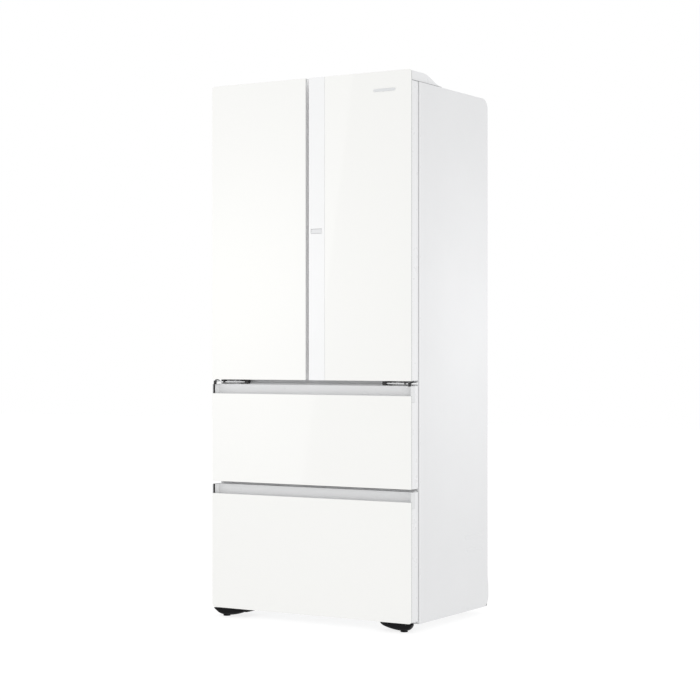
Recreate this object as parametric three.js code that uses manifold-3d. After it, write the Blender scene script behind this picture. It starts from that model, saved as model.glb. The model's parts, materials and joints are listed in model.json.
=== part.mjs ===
// French door refrigerator: two hinged upper doors over two full-width drawers.
// Millimetres. X runs to the right seen from the front, Y from the front face to the back, Z up.
// Inside this file Y = 0 is the front face of the door glass; the last lines centre the part on its box.
import * as THREE from "three";
import { mergeVertices } from "three/addons/utils/BufferGeometryUtils.js";
import Module from "manifold-3d";

const wasm = await Module();
wasm.setup();

// ---------------------------------------------------------------- driving dimensions
const WIDTH = 776;
const HEIGHT = 1800;
const DEPTH = 560;
const HALF = WIDTH / 2;
const FIT = 0.3; // gap between pieces that touch
const SHEET = 2; // steel sheets of the cabinet

// Cabinet
const CABINET_FRONT = 52;
const CABINET_REAR = 540;
const CABINET_TOP = 1765;
const CABINET_BOTTOM = 24;
const CORNER = 35; // rear corners of the side panels
const TAIL = 6; // how far the side panels flare out behind, low down
const TAIL_TOP = 130;
const TAIL_FULL = 100;

// Openings of the cabinet, each as its lowest and highest Z, between the same two side walls
const CAVITY_HALF = 340;
const CAVITY_REAR = 483;
const CAVITY_CORNER = 18;
const ROOM = [848, 1710];
const UPPER_CAVITY = [478, 772];
const LOWER_CAVITY = [62, 432];
const LINER = 2;
const STEP_Y = 300; // the lower cavity steps forward over the machine compartment
const STEP_Z = 300;

// Machine compartment, its rear cover and the mains inlet in it
const MACHINE_FRONT = 335;
const MACHINE_TOP = 262;
const REAR_COVER_HALF = 360;
const REAR_COVER_RADIUS = 16;
const REAR_COVER_WALL = 2;
const LOUVRE_X = [-230, -10, 210];
const LOUVRE_HALF = 90;
const LOUVRE_HEIGHT = 6;
const LOUVRE_LOW = 96;
const LOUVRE_PITCH = 24;
const LOUVRE_ROWS = 5;
const INLET_X = [318, 348];
const INLET_Z = [52, 76];
const INLET_DEPTH = 34;

// Doors and drawer fronts
const GLASS = 4;
const FRONT_DEPTH = 43; // back of the insulated door and drawer bodies
const GAP = 12; // between the two doors
const GAP_X = -4.5; // its centre
const DOOR_BOTTOM = 804.5;
const DOOR_NOTCH_Z = 1764; // the notch for the hinge cover; only the glass and a thin lip stand above it
const DOOR_NOTCH_X = 284;
const LIP_BACKING = 1.8;
const UPPER_DRAWER = [458.7, 789];
const LOWER_DRAWER = [30, 449.5];
const GRIP_HEIGHT = 32;
const GRIP_DEPTH = 24;
const GRIP_POCKET = 20; // depth of the finger pocket behind the glass
const GRIP_WALL = 1.5;
const GRIP_BEND = 8; // inner radius where the floor of the pocket turns up
const GRIP_CHEEK = 3;
const OUTER_RADIUS = 11;
const STRIP_WIDTH = 61;
const BODY_INSET = 0.5; // the bodies stand this far inside the outline of their glass

// Door hinges
const PIN_X = 378;
const PIN_Y = 16;
const PIN_RADIUS = 4;
const PIN_HOLE = 5;
const HINGE_PLATE = 4;
const MIDDLE_PLATE = [794, 798];
const MIDDLE_FLANGE = [790.8, 802.6];
const MIDDLE_INNER = 262;
const MIDDLE_OUTER = 384;

// Covers of the top hinges
const COVER_SIDE = 382;
const COVER_INNER = 290;
const COVER_FRONT = 7.6;
const COVER_HIGH = 1794;
const COVER_BASE = CABINET_TOP + 0.6;
const COVER_CREST = 62; // where the top starts to fall
const COVER_TAIL = 218; // where it meets the cabinet top
const COVER_TOE = 0.8; // height of the cover at its tail
const COVER_WALL = 2;
const COVER_CURVE_STEPS = 14;

// Gaskets
const GASKET_INSET = 15;
const GASKET_WIDTH = 11;

// Post between the doors
const POST_HALF = 35;
const POST_REAR = 88;
const POST_RADIUS = 6;

// Moulded dike on the inside of each door, and the bins it holds
const DIKE_FREE = 41; // from the free edge to the dike
const DIKE_OUTER = 336;
const DIKE_WIDTH = 17;
const DIKE_REAR = 75;
const DIKE_RADIUS = 14;
const BIN_REAR = 138;
const BINS = { upper: [1330, 1412], lower: [935, 1030] };
const BIN_WALL = 2.5;
const BIN_RADIUS = 10;

// Shelves and crispers of the room
const SHELF_Z = [1490, 1275, 1052];
const SHELF_FRONT = 152;
const SHELF_REAR = 476;
const SHELF_HALF = 337;
const SHELF_GLASS = 5;
const LEDGE_INNER = 326;
const LEDGE_HEIGHT = 8;
const CRISPER_TOP = 1036;
const CRISPER_FRONT = 162;
const CRISPER_RADIUS = 12;
const PULL_INSET = 40; // from each end of a crisper to its pull

// Runners and baskets of the drawers
const RUNNER_OUTER = 333;
const RUNNER_THICK = 4;
const RUNNER_HEIGHT = 34;
const RUNNER_REAR = 440;
const UPPER_RUNNER_Z = 520;
const LOWER_RUNNER_Z = 330;
const BASKET_HALF = 316;
const BASKET_FRONT = 50;
const BASKET_REAR = 430;
const BASKET_WALL = 2.5;
const BASKET_RADIUS = 14;
const BASKET_CLEAR = 8; // over the floor of its cavity

// Push button on the door strip
const BUTTON_X = [9.5, 52];
const BUTTON_Z = [1286.5, 1302];
const BUTTON_Y = [0.4, 9];
const BUTTON_CLEAR = 0.6;
const BUTTON_POCKET = 12.5; // depth of its pocket in the door body

// Front feet: a boat-shaped housing under the lower drawer, with a levelling foot in it
const FOOT_X = 346;
const FOOT_Y = 28;
const FOOT_RADIUS = 12;
const FOOT_CLEAR = 1.2; // around the foot in its housing
const STEM_RADIUS = 5;
const STEM_TOP = 25;
const HOUSING_X = [259, 386];
const HOUSING_Y = [6, 50];
const HOUSING_TOP = 27;
const HOUSING_LOW = 2.5;
const TONGUE_X = [266, 334];
const TONGUE_REAR = 108;
const TONGUE_LOW = 15;

// Rear rollers
const ROLLER_X = 296;
const ROLLER_Y = 492;
const ROLLER_RADIUS = 20;
const ROLLER_WIDTH = 18;
const ROLLER_GAP = 3; // around a roller, in the base
const ROLLER_CHEEK = 3;
const AXLE_RADIUS = 4;

// Compressor, condenser and its fan
const COMPRESSOR_X = -193;
const COMPRESSOR_Y = 432;
const MOUNT_X = 75; // from the compressor's middle to its rubber mounts
const MOUNT_Y = 58;
const CONDENSER_X = [30, 276];
const CONDENSER_Y = [400, 480];
const CONDENSER_TOP = 218;
const TUBE_Z = [75, 125, 175];
const FIN_COUNT = 9;
const FAN_X = -60;
const FAN_Y = 440;
const FAN_Z = 128;
const FAN_RADIUS = 58;
const SHROUD_HALF = 72;
const BLADE_COUNT = 5;
const BLADE_PITCH = 0.42; // radians

// ---------------------------------------------------------------- materials
function finish(color, roughness, metalness = 0) {
  return new THREE.MeshStandardMaterial({ color, roughness, metalness });
}

const materials = {
  glass: finish(0xf6f6f3, 0.06),
  paint: finish(0xe8e9eb, 0.42),
  trim: finish(0xeeeff0, 0.35),
  grip: finish(0xd3d4d5, 0.38, 0.2),
  liner: finish(0xf3f4f4, 0.4),
  clear: finish(0xdfe6e8, 0.1),
  rubber: finish(0xd9dadb, 0.8),
  dark: finish(0x17181a, 0.5),
  steel: finish(0xb4b6b8, 0.35, 0.9),
  foam: finish(0xe8d9a8, 0.9),
  machine: finish(0x232426, 0.4, 0.3),
  copper: finish(0x9b5d3f, 0.4, 0.8),
  key: finish(0xdcdddd, 0.4),
};

// ---------------------------------------------------------------- solids
function solid(geometry) {
  const bare = geometry.index ? geometry.toNonIndexed() : geometry.clone();
  bare.deleteAttribute("normal");
  bare.deleteAttribute("uv");
  const merged = mergeVertices(bare, 1e-4);
  return new wasm.Manifold(
    new wasm.Mesh({
      numProp: 3,
      vertProperties: merged.attributes.position.array,
      triVerts: new Uint32Array(merged.index.array),
    }),
  );
}

function block([x0, x1], [y0, y1], [z0, z1]) {
  const geometry = new THREE.BoxGeometry(x1 - x0, y1 - y0, z1 - z0);
  geometry.translate((x0 + x1) / 2, (y0 + y1) / 2, (z0 + z1) / 2);
  return solid(geometry);
}

// A shape drawn in X and Z, given thickness from y0 to y1.
function frontPlate(shape, y0, y1, curveSegments = 5) {
  const geometry = new THREE.ExtrudeGeometry(shape, {
    depth: y1 - y0,
    bevelEnabled: false,
    curveSegments,
  });
  geometry.rotateX(Math.PI / 2);
  geometry.translate(0, y1, 0);
  return solid(geometry);
}

// A profile drawn in Y and Z, drawn out from x0 to x1.
function sideProfile(shape, x0, x1, curveSegments = 6) {
  const geometry = new THREE.ExtrudeGeometry(shape, {
    depth: x1 - x0,
    bevelEnabled: false,
    curveSegments,
  });
  const toSide = new THREE.Matrix4().makeBasis(
    new THREE.Vector3(0, 1, 0),
    new THREE.Vector3(0, 0, 1),
    new THREE.Vector3(1, 0, 0),
  );
  geometry.applyMatrix4(toSide);
  geometry.translate(x0, 0, 0);
  return solid(geometry);
}

// A shape drawn in X and Y, drawn up from z0 to z1.
function floorPlate(shape, z0, z1, curveSegments = 5) {
  const geometry = new THREE.ExtrudeGeometry(shape, {
    depth: z1 - z0,
    bevelEnabled: false,
    curveSegments,
  });
  geometry.translate(0, 0, z0);
  return solid(geometry);
}

// A rectangle from (a0, b0) to (a1, b1), its corner radii given from the low-low corner
// anticlockwise.
function roundedRect([a0, a1], [b0, b1], radii) {
  const [ll, hl, hh, lh] = Array.isArray(radii) ? radii : [radii, radii, radii, radii];
  const shape = new THREE.Shape();
  const corner = (a, b, r, start) => {
    if (r > 0) shape.absarc(a, b, r, start, start + Math.PI / 2, false);
    else shape.lineTo(a, b);
  };
  shape.moveTo(a0 + ll, b0);
  corner(a1 - hl, b0 + hl, hl, -Math.PI / 2);
  corner(a1 - hh, b1 - hh, hh, 0);
  corner(a0 + lh, b1 - lh, lh, Math.PI / 2);
  corner(a0 + ll, b0 + ll, ll, Math.PI);
  shape.closePath();
  return shape;
}

function polygon(points) {
  return new THREE.Shape(points.map(([a, b]) => new THREE.Vector2(a, b)));
}

// A round bar along one axis, from the point given to length further on.
function rod(axis, radius, [x, y, z], length, sides = 20, endRadius = radius) {
  const geometry = new THREE.CylinderGeometry(endRadius, radius, length, sides);
  geometry.translate(0, length / 2, 0);
  if (axis === "x") geometry.rotateZ(-Math.PI / 2);
  if (axis === "z") geometry.rotateX(Math.PI / 2);
  geometry.translate(x, y, z);
  return solid(geometry);
}

function span(a, b) {
  return [Math.min(a, b), Math.max(a, b)];
}

function within([low, high], by) {
  return [low + by, high - by];
}

function join(...solids) {
  return solids.reduce((sum, one) => sum.add(one));
}

function mirrored(made) {
  return made.mirror([1, 0, 0]);
}

const part = new THREE.Group();
part.name = "french_door_refrigerator";
part.position.set(0, -DEPTH / 2, 0);

function place(name, made, material, parent = part) {
  const { vertProperties, triVerts } = made.getMesh();
  const geometry = new THREE.BufferGeometry();
  geometry.setAttribute("position", new THREE.BufferAttribute(new Float32Array(vertProperties), 3));
  geometry.setIndex(new THREE.BufferAttribute(new Uint32Array(triVerts), 1));
  geometry.computeVertexNormals();
  const mesh = new THREE.Mesh(geometry, material);
  mesh.name = name;
  parent.add(mesh);
}

// The same piece on the left and on the right; made is the right-hand one.
function placePair(name, made, material) {
  place(`${name}_right`, made, material);
  place(`${name}_left`, mirrored(made), material);
}

// ---------------------------------------------------------------- cabinet shell
function cabinetOutline(inset, flare) {
  const front = CABINET_FRONT + inset;
  const rear = CABINET_REAR - inset;
  const top = CABINET_TOP - inset;
  const bottom = CABINET_BOTTOM + inset;
  const radius = CORNER - inset;
  const shape = new THREE.Shape();
  shape.moveTo(front, bottom);
  shape.lineTo(rear + flare - radius, bottom);
  shape.absarc(rear + flare - radius, bottom + radius, radius, -Math.PI / 2, 0, false);
  if (flare > 0) {
    shape.lineTo(rear + flare, TAIL_FULL);
    shape.lineTo(rear, TAIL_TOP);
  }
  shape.absarc(rear - radius, top - radius, radius, 0, Math.PI / 2, false);
  shape.lineTo(front, top);
  shape.closePath();
  return shape;
}

const INSIDE = HALF - SHEET - FIT; // inner face of the side panels, with its gap

function sidePanel() {
  return sideProfile(cabinetOutline(0, TAIL), HALF - SHEET, HALF, 8);
}

// The top sheet turns down behind in the same arc as the side panels.
function topPanel() {
  const outer = sideProfile(cabinetOutline(0, 0), -INSIDE, INSIDE, 8);
  const inner = sideProfile(cabinetOutline(SHEET, 0), -HALF, HALF, 8);
  const keep = block([-HALF, HALF], [CABINET_FRONT, CABINET_REAR], [CABINET_TOP - CORNER, CABINET_TOP]);
  const openFront = block([-HALF, HALF], [0, CABINET_FRONT + 3], [0, CABINET_TOP - SHEET]);
  return outer.subtract(inner).intersect(keep).subtract(openFront);
}

function backPanel() {
  return block(
    [-INSIDE, INSIDE],
    [CABINET_REAR - SHEET, CABINET_REAR],
    [MACHINE_TOP + SHEET + FIT, CABINET_TOP - CORNER - FIT],
  );
}

// Sheet that walls the machine compartment off from the insulation.
function machineBulkhead() {
  const wall = block(
    [-INSIDE, INSIDE],
    [MACHINE_FRONT - SHEET, MACHINE_FRONT],
    [CABINET_BOTTOM + SHEET + FIT, MACHINE_TOP + SHEET],
  );
  const ceiling = block(
    [-INSIDE, INSIDE],
    [MACHINE_FRONT - SHEET, CABINET_REAR - FIT],
    [MACHINE_TOP, MACHINE_TOP + SHEET],
  );
  return wall.add(ceiling);
}

const FRAME_BACK = CABINET_FRONT + SHEET;

// Painted steel frame that the gaskets close on.
function faceFrame() {
  const outline = roundedRect([-INSIDE, INSIDE], [CABINET_BOTTOM + FIT, CABINET_TOP - SHEET - FIT], 0);
  let frame = frontPlate(outline, CABINET_FRONT, FRAME_BACK);
  for (const opening of [ROOM, UPPER_CAVITY, LOWER_CAVITY]) {
    const hole = roundedRect([-CAVITY_HALF, CAVITY_HALF], opening, CAVITY_CORNER);
    frame = frame.subtract(frontPlate(hole, 0, FRAME_BACK + 1));
  }
  return frame;
}

// One moulded cavity: its skin, and the space inside it.
function cavity([low, high], rear) {
  const front = FRAME_BACK + FIT;
  const outside = roundedRect(
    [-CAVITY_HALF - LINER, CAVITY_HALF + LINER],
    [low - LINER, high + LINER],
    CAVITY_CORNER + LINER,
  );
  const inside = roundedRect([-CAVITY_HALF, CAVITY_HALF], [low, high], CAVITY_CORNER);
  return {
    skin: frontPlate(outside, front, rear + LINER),
    space: frontPlate(inside, front - 1, rear),
  };
}

// A pair of moulded ledges on the side walls, under a shelf or a runner at height z.
function ledges(made, ys, z) {
  const right = block([LEDGE_INNER, CAVITY_HALF + 1], ys, [z - LEDGE_HEIGHT - FIT, z - FIT]);
  return join(made, right, mirrored(right));
}

function roomLiner() {
  const { skin, space } = cavity(ROOM, CAVITY_REAR);
  let liner = skin.subtract(space);
  for (const z of SHELF_Z) {
    liner = ledges(liner, [SHELF_FRONT + LEDGE_HEIGHT, SHELF_REAR], z);
  }
  return liner;
}

// ---------------------------------------------------------------- drawers' cavities and runners
// Two cavities moulded as one liner, joined by a web behind the frame.
function drawerLiner() {
  const upper = cavity(UPPER_CAVITY, CAVITY_REAR);
  const lower = cavity(LOWER_CAVITY, CAVITY_REAR);
  const underStep = block(
    [-HALF, HALF],
    [STEP_Y + LINER, CABINET_REAR],
    [0, STEP_Z - LINER],
  );
  const stepSkin = block([-HALF, HALF], [STEP_Y, CABINET_REAR], [0, STEP_Z]);
  const web = block(
    [-CAVITY_HALF, CAVITY_HALF],
    [FRAME_BACK + FIT, FRAME_BACK + FIT + LINER],
    [LOWER_CAVITY[1] - CAVITY_CORNER, UPPER_CAVITY[0] + CAVITY_CORNER],
  );
  let liner = join(upper.skin, lower.skin.subtract(underStep), web);
  liner = liner.subtract(upper.space).subtract(lower.space.subtract(stepSkin));
  for (const z of [UPPER_RUNNER_Z, LOWER_RUNNER_Z]) {
    liner = ledges(liner, [FRAME_BACK + 16, RUNNER_REAR + 20], z);
  }
  return liner;
}

// Foam that fills the cabinet between its sheets and its liners.
function foam() {
  const clear = SHEET + FIT + 0.2;
  const around = LINER + FIT;
  const outline = sideProfile(cabinetOutline(clear, 0), -INSIDE + 0.2, INSIDE - 0.2, 8);
  const xs = [-CAVITY_HALF - around, CAVITY_HALF + around];
  const hole = ([low, high], rear) =>
    frontPlate(roundedRect(xs, [low - around, high + around], CAVITY_CORNER), 0, rear + around);
  const holes = [
    block([-HALF, HALF], [0, FRAME_BACK + 2 * FIT + LINER], [0, HEIGHT]),
    block([-HALF, HALF], [MACHINE_FRONT - SHEET - FIT, CABINET_REAR + TAIL], [0, MACHINE_TOP + SHEET + FIT]),
    hole(ROOM, CAVITY_REAR),
    hole(UPPER_CAVITY, CAVITY_REAR),
    hole(LOWER_CAVITY, STEP_Y),
    block(xs, [STEP_Y, CAVITY_REAR + around], [STEP_Z - around, LOWER_CAVITY[1] + around]),
  ];
  return holes.reduce((left, one) => left.subtract(one), outline);
}

// Fixed post that both doors close on.
function centrePost() {
  const shape = roundedRect(
    [GAP_X - POST_HALF, GAP_X + POST_HALF],
    [CABINET_FRONT, POST_REAR],
    [0, 0, POST_RADIUS, POST_RADIUS],
  );
  return floorPlate(shape, ROOM[0] + FIT, ROOM[1] - FIT);
}

// ---------------------------------------------------------------- inside the room
function shelf(z) {
  const pane = block([-SHELF_HALF, SHELF_HALF], [SHELF_FRONT, SHELF_REAR], [z, z + SHELF_GLASS]);
  const nose = sideProfile(
    roundedRect([SHELF_FRONT - 6, SHELF_FRONT + 6], [z - 6, z + 10], 3),
    -SHELF_HALF + 14,
    SHELF_HALF - 14,
    3,
  );
  const stop = block([-SHELF_HALF, SHELF_HALF], [SHELF_REAR - 5, SHELF_REAR], [z, z + 16]);
  return join(pane, nose, stop);
}

// A bin open at the top, with thin walls and rounded upright corners.
function openBin(xs, ys, [low, high], wall, radius) {
  const outside = floorPlate(roundedRect(xs, ys, radius), low, high, 4);
  const inside = floorPlate(
    roundedRect([xs[0] + wall, xs[1] - wall], [ys[0] + wall, ys[1] - wall], radius - wall),
    low + wall,
    high + 1,
    4,
  );
  return outside.subtract(inside);
}

function crisper() {
  const bin = openBin(
    [3, LEDGE_INNER - 3],
    [CRISPER_FRONT, SHELF_REAR - 4],
    [ROOM[0] + 3, CRISPER_TOP],
    BIN_WALL,
    CRISPER_RADIUS,
  );
  const pull = sideProfile(
    polygon([
      [CRISPER_FRONT - 9, CRISPER_TOP - 1],
      [CRISPER_FRONT - 9, CRISPER_TOP - 14],
      [CRISPER_FRONT - 7, CRISPER_TOP - 14],
      [CRISPER_FRONT - 7, CRISPER_TOP - 3],
      [CRISPER_FRONT + 1, CRISPER_TOP - 3],
      [CRISPER_FRONT + 1, CRISPER_TOP - 1],
    ]),
    PULL_INSET,
    LEDGE_INNER - PULL_INSET,
  );
  return bin.add(pull);
}

// ---------------------------------------------------------------- hinges
// Cover's side view: level in front, then one S-curve down to the cabinet top.
function hingeCoverProfile(inset) {
  const low = COVER_BASE - (inset > 0 ? 1 : 0);
  const high = COVER_HIGH - inset;
  const points = [
    [COVER_FRONT + inset, low],
    [COVER_TAIL - 2.5 * inset, low],
  ];
  for (let i = 1; i <= COVER_CURVE_STEPS; i += 1) {
    const t = i / COVER_CURVE_STEPS;
    const rise = (1 - Math.cos(Math.PI * t)) / 2;
    const y = COVER_TAIL - 2.5 * inset - t * (COVER_TAIL - COVER_CREST);
    points.push([y, COVER_BASE + COVER_TOE + rise * (high - COVER_BASE - COVER_TOE)]);
  }
  points.push([COVER_FRONT + inset, high]);
  return polygon(points);
}

function hingeCover() {
  const plan = roundedRect([COVER_INNER, COVER_SIDE], [COVER_FRONT, COVER_TAIL], [6, 3.5, 16, 16]);
  const planInside = roundedRect(
    [COVER_INNER + COVER_WALL, COVER_SIDE - COVER_WALL],
    [COVER_FRONT + COVER_WALL, COVER_TAIL - 12],
    [4, 2, 12, 12],
  );
  const outside = sideProfile(hingeCoverProfile(0), COVER_INNER, COVER_SIDE).intersect(
    floorPlate(plan, CABINET_TOP, HEIGHT),
  );
  const inside = sideProfile(hingeCoverProfile(COVER_WALL), COVER_INNER, COVER_SIDE).intersect(
    floorPlate(planInside, CABINET_TOP - 2, HEIGHT),
  );
  return outside.subtract(inside);
}

// Plate on the cabinet top with an arm forward to its pin, which hangs into the door.
function topHinge() {
  const low = CABINET_TOP + FIT;
  const plate = floorPlate(roundedRect([300, 379.5], [62, 150], 5), low, low + HINGE_PLATE);
  const arm = floorPlate(roundedRect([344, 379.5], [10.5, 70], [10, 1, 1, 1]), low, low + HINGE_PLATE);
  const pin = rod("z", PIN_RADIUS, [PIN_X, PIN_Y, DOOR_NOTCH_Z - 16], 17.45);
  return join(plate, arm, pin);
}

// Bracket between a door and the upper drawer: a flange on the frame, a plate, and a pin up.
function middleHinge() {
  const flange = block(
    [MIDDLE_INNER, MIDDLE_OUTER],
    [CABINET_FRONT - 3, CABINET_FRONT - FIT],
    MIDDLE_FLANGE,
  );
  const plate = floorPlate(
    polygon([
      [MIDDLE_INNER, CABINET_FRONT - 1],
      [MIDDLE_INNER, 40],
      [300, 28],
      [352, 24],
      [368, 9],
      [MIDDLE_OUTER, 9],
      [MIDDLE_OUTER, CABINET_FRONT - 1],
    ]),
    ...MIDDLE_PLATE,
  );
  const washer = rod("z", 8, [PIN_X - 2, PIN_Y + 1, MIDDLE_PLATE[1] - 0.5], 3.5, 16);
  const pin = rod("z", PIN_RADIUS, [PIN_X, PIN_Y, MIDDLE_PLATE[1] - 1], 21);
  return join(flange, plate, washer, pin);
}

// ---------------------------------------------------------------- doors
// A door is drawn from its hinge side (the outer side) to its free edge, in X.
const doors = {
  left: { outer: -HALF, free: GAP_X - GAP / 2, side: -1 },
  right: { outer: HALF, free: GAP_X + GAP / 2, side: 1 },
};

// Corner radii of a door front, with the rounded ones on the outer side.
function doorCorners(side, radius) {
  return side < 0 ? [radius / 3, 1, 1, radius] : [1, radius / 3, radius, 1];
}

function doorGlass({ outer, side }, edge) {
  const shape = roundedRect(span(outer, edge), [DOOR_BOTTOM, HEIGHT], doorCorners(side, OUTER_RADIUS));
  return frontPlate(shape, 0, GLASS);
}

function doorBody({ outer, free, side }) {
  const xs = span(outer - side * BODY_INSET, free + side * BODY_INSET);
  const zs = [DOOR_BOTTOM + BODY_INSET, HEIGHT - BODY_INSET];
  const front = GLASS + FIT;
  const notch = block(
    span(side * DOOR_NOTCH_X, side * (HALF + 1)),
    [front + LIP_BACKING, FRONT_DEPTH + 1],
    [DOOR_NOTCH_Z, HEIGHT],
  );
  const corners = doorCorners(side, OUTER_RADIUS - BODY_INSET);
  const body = frontPlate(roundedRect(xs, zs, corners), front, FRONT_DEPTH);
  const pinX = side * PIN_X;
  const topHole = rod("z", PIN_HOLE, [pinX, PIN_Y, DOOR_NOTCH_Z - 19], 20);
  const lowHole = rod("z", PIN_HOLE, [pinX, PIN_Y, DOOR_BOTTOM], 17);
  return body.subtract(notch).subtract(topHole).subtract(lowHole);
}

// Moulded inner panel: a flat skin with a raised dike around it.
function doorLiner({ free, side }) {
  const xs = span(side * DIKE_OUTER, free + side * DIKE_FREE);
  const zs = [ROOM[0] + 6, ROOM[1] - 6];
  const ring = frontPlate(roundedRect(xs, zs, DIKE_RADIUS), FRONT_DEPTH + FIT, DIKE_REAR);
  const space = frontPlate(
    roundedRect(within(xs, DIKE_WIDTH), within(zs, DIKE_WIDTH), DIKE_RADIUS - 6),
    FRONT_DEPTH + FIT + LINER,
    DIKE_REAR + 1,
  );
  return ring.subtract(space);
}

function gasket(xs, zs) {
  const ring = frontPlate(roundedRect(xs, zs, 4), FRONT_DEPTH + FIT, CABINET_FRONT - FIT, 2);
  const opening = roundedRect(within(xs, GASKET_WIDTH), within(zs, GASKET_WIDTH), 2);
  const hole = frontPlate(opening, FRONT_DEPTH, CABINET_FRONT, 2);
  return ring.subtract(hole);
}

function doorGasket({ outer, free, side }) {
  const xs = span(outer - side * GASKET_INSET, free + side * GASKET_INSET);
  return gasket(xs, [DOOR_BOTTOM + 9, ROOM[1] + 34]);
}

function doorBin({ free, side }, zs) {
  const near = side * (DIKE_OUTER - DIKE_WIDTH - 1);
  const far = free + side * (DIKE_FREE + DIKE_WIDTH + 2);
  return openBin(span(near, far), [FRONT_DEPTH + LINER + 1, BIN_REAR], zs, BIN_WALL, BIN_RADIUS);
}

function rightDoorStrip({ free }) {
  const xs = [free, free + STRIP_WIDTH];
  const strip = frontPlate(roundedRect(xs, [DOOR_BOTTOM, HEIGHT], 1), 0, GLASS);
  return strip.subtract(block(BUTTON_X, [-1, GLASS + 1], BUTTON_Z));
}

// Slim key that slides straight into its pocket in the door body behind the strip.
function doorButton() {
  const shape = roundedRect(within(BUTTON_X, BUTTON_CLEAR), within(BUTTON_Z, BUTTON_CLEAR), 1.5);
  return frontPlate(shape, ...BUTTON_Y, 3);
}

function placeDoor(name) {
  const door = doors[name];
  let body = doorBody(door);
  let edge = door.free;
  if (name === "right") {
    edge = door.free + STRIP_WIDTH + FIT;
    body = body.subtract(block(BUTTON_X, [0, BUTTON_POCKET], BUTTON_Z));
    place("right_door_strip", rightDoorStrip(door), materials.trim);
    place("right_door_button", doorButton(), materials.key);
  }
  place(`${name}_door_glass`, doorGlass(door, edge), materials.glass);
  place(`${name}_door_body`, body, materials.trim);
  place(`${name}_door_liner`, doorLiner(door), materials.liner);
  place(`${name}_door_gasket`, doorGasket(door), materials.rubber);
  for (const [level, zs] of Object.entries(BINS)) {
    place(`${name}_door_bin_${level}`, doorBin(door, zs), materials.clear);
  }
}

// ---------------------------------------------------------------- drawers
function drawerGlass([low, high], cornerRadius) {
  const shape = roundedRect([-HALF, HALF], [low, high - GRIP_HEIGHT], [cornerRadius, cornerRadius, 1, 1]);
  return frontPlate(shape, 0, GLASS);
}

function drawerBody([low, high], cornerRadius) {
  const half = HALF - BODY_INSET;
  const shape = roundedRect([-half, half], [low + BODY_INSET, high], [cornerRadius, cornerRadius, 1, 1]);
  const recess = block(
    [-HALF, HALF],
    [0, GRIP_DEPTH + FIT],
    [high - GRIP_HEIGHT - GRIP_POCKET - FIT, high + 1],
  );
  return frontPlate(shape, GLASS + FIT, FRONT_DEPTH).subtract(recess);
}

// Recessed grip: a channel behind the top edge of the glass, closed by a cheek at each end.
function drawerGrip(high) {
  const glassTop = high - GRIP_HEIGHT;
  const floor = glassTop - GRIP_POCKET;
  const front = GLASS + 2 * FIT;
  const half = HALF - BODY_INSET;
  const top = high - BODY_INSET;
  const inner = GRIP_DEPTH - GRIP_WALL;
  const channel = new THREE.Shape();
  channel.moveTo(front, glassTop - 1);
  channel.lineTo(front, floor);
  channel.lineTo(GRIP_DEPTH, floor);
  channel.lineTo(GRIP_DEPTH, top);
  channel.lineTo(inner, top);
  channel.lineTo(inner, floor + GRIP_WALL + GRIP_BEND);
  channel.absarc(inner - GRIP_BEND, floor + GRIP_WALL + GRIP_BEND, GRIP_BEND, 0, -Math.PI / 2, true);
  channel.lineTo(front + GRIP_WALL, floor + GRIP_WALL);
  channel.lineTo(front + GRIP_WALL, glassTop - 1);
  channel.closePath();
  const end = polygon([
    [front, floor],
    [GRIP_DEPTH, floor],
    [GRIP_DEPTH, top],
    [2 * FIT, top],
    [2 * FIT, glassTop + FIT],
    [front, glassTop + FIT],
  ]);
  const right = sideProfile(end, half - GRIP_CHEEK, half);
  return join(sideProfile(channel, -half, half), right, mirrored(right));
}

// Steel frame on the back of a drawer front: two arms that run on the liner's ledges.
function drawerFrame(z) {
  const front = FRONT_DEPTH + FIT;
  const zs = [z, z + RUNNER_HEIGHT];
  const across = [-RUNNER_OUTER, RUNNER_OUTER];
  const arm = block([RUNNER_OUTER - RUNNER_THICK, RUNNER_OUTER], [front, RUNNER_REAR], zs);
  const plate = block(across, [front, front + SHEET], zs);
  const tie = block(across, [RUNNER_REAR - RUNNER_THICK, RUNNER_REAR], within(zs, RUNNER_THICK));
  return join(arm, mirrored(arm), plate, tie);
}

// Rim that hangs a basket on the frame's two arms.
function basketRim(z) {
  const right = block(
    [BASKET_HALF - 1, RUNNER_OUTER],
    [BASKET_FRONT, BASKET_REAR],
    [z + RUNNER_HEIGHT + FIT, z + RUNNER_HEIGHT + FIT + 3],
  );
  return join(right, mirrored(right));
}

function upperBasket() {
  const bin = openBin(
    [-BASKET_HALF, BASKET_HALF],
    [BASKET_FRONT, BASKET_REAR],
    [UPPER_CAVITY[0] + BASKET_CLEAR, UPPER_CAVITY[1] - 60],
    BASKET_WALL,
    BASKET_RADIUS,
  );
  return bin.add(basketRim(UPPER_RUNNER_Z));
}

// The lower basket is deep in front and shallow over the machine compartment's step.
function lowerBasket() {
  const xs = [-BASKET_HALF, BASKET_HALF];
  const deep = [BASKET_FRONT, STEP_Y - BASKET_CLEAR];
  const shallow = [BASKET_FRONT, BASKET_REAR];
  const floors = [LOWER_CAVITY[0] + BASKET_CLEAR, STEP_Z + BASKET_CLEAR];
  const top = LOWER_CAVITY[1] - 42;
  const outside = join(
    floorPlate(roundedRect(xs, deep, [BASKET_RADIUS, BASKET_RADIUS, 4, 4]), floors[0], top, 4),
    floorPlate(roundedRect(xs, shallow, BASKET_RADIUS), floors[1], top, 4),
  );
  const inner = within(xs, BASKET_WALL);
  const inside = join(
    floorPlate(roundedRect(inner, within(deep, BASKET_WALL), 4), floors[0] + BASKET_WALL, top + 1, 4),
    floorPlate(roundedRect(inner, within(shallow, BASKET_WALL), 10), floors[1] + BASKET_WALL, top + 1, 4),
  );
  return outside.subtract(inside).add(basketRim(LOWER_RUNNER_Z));
}

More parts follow.
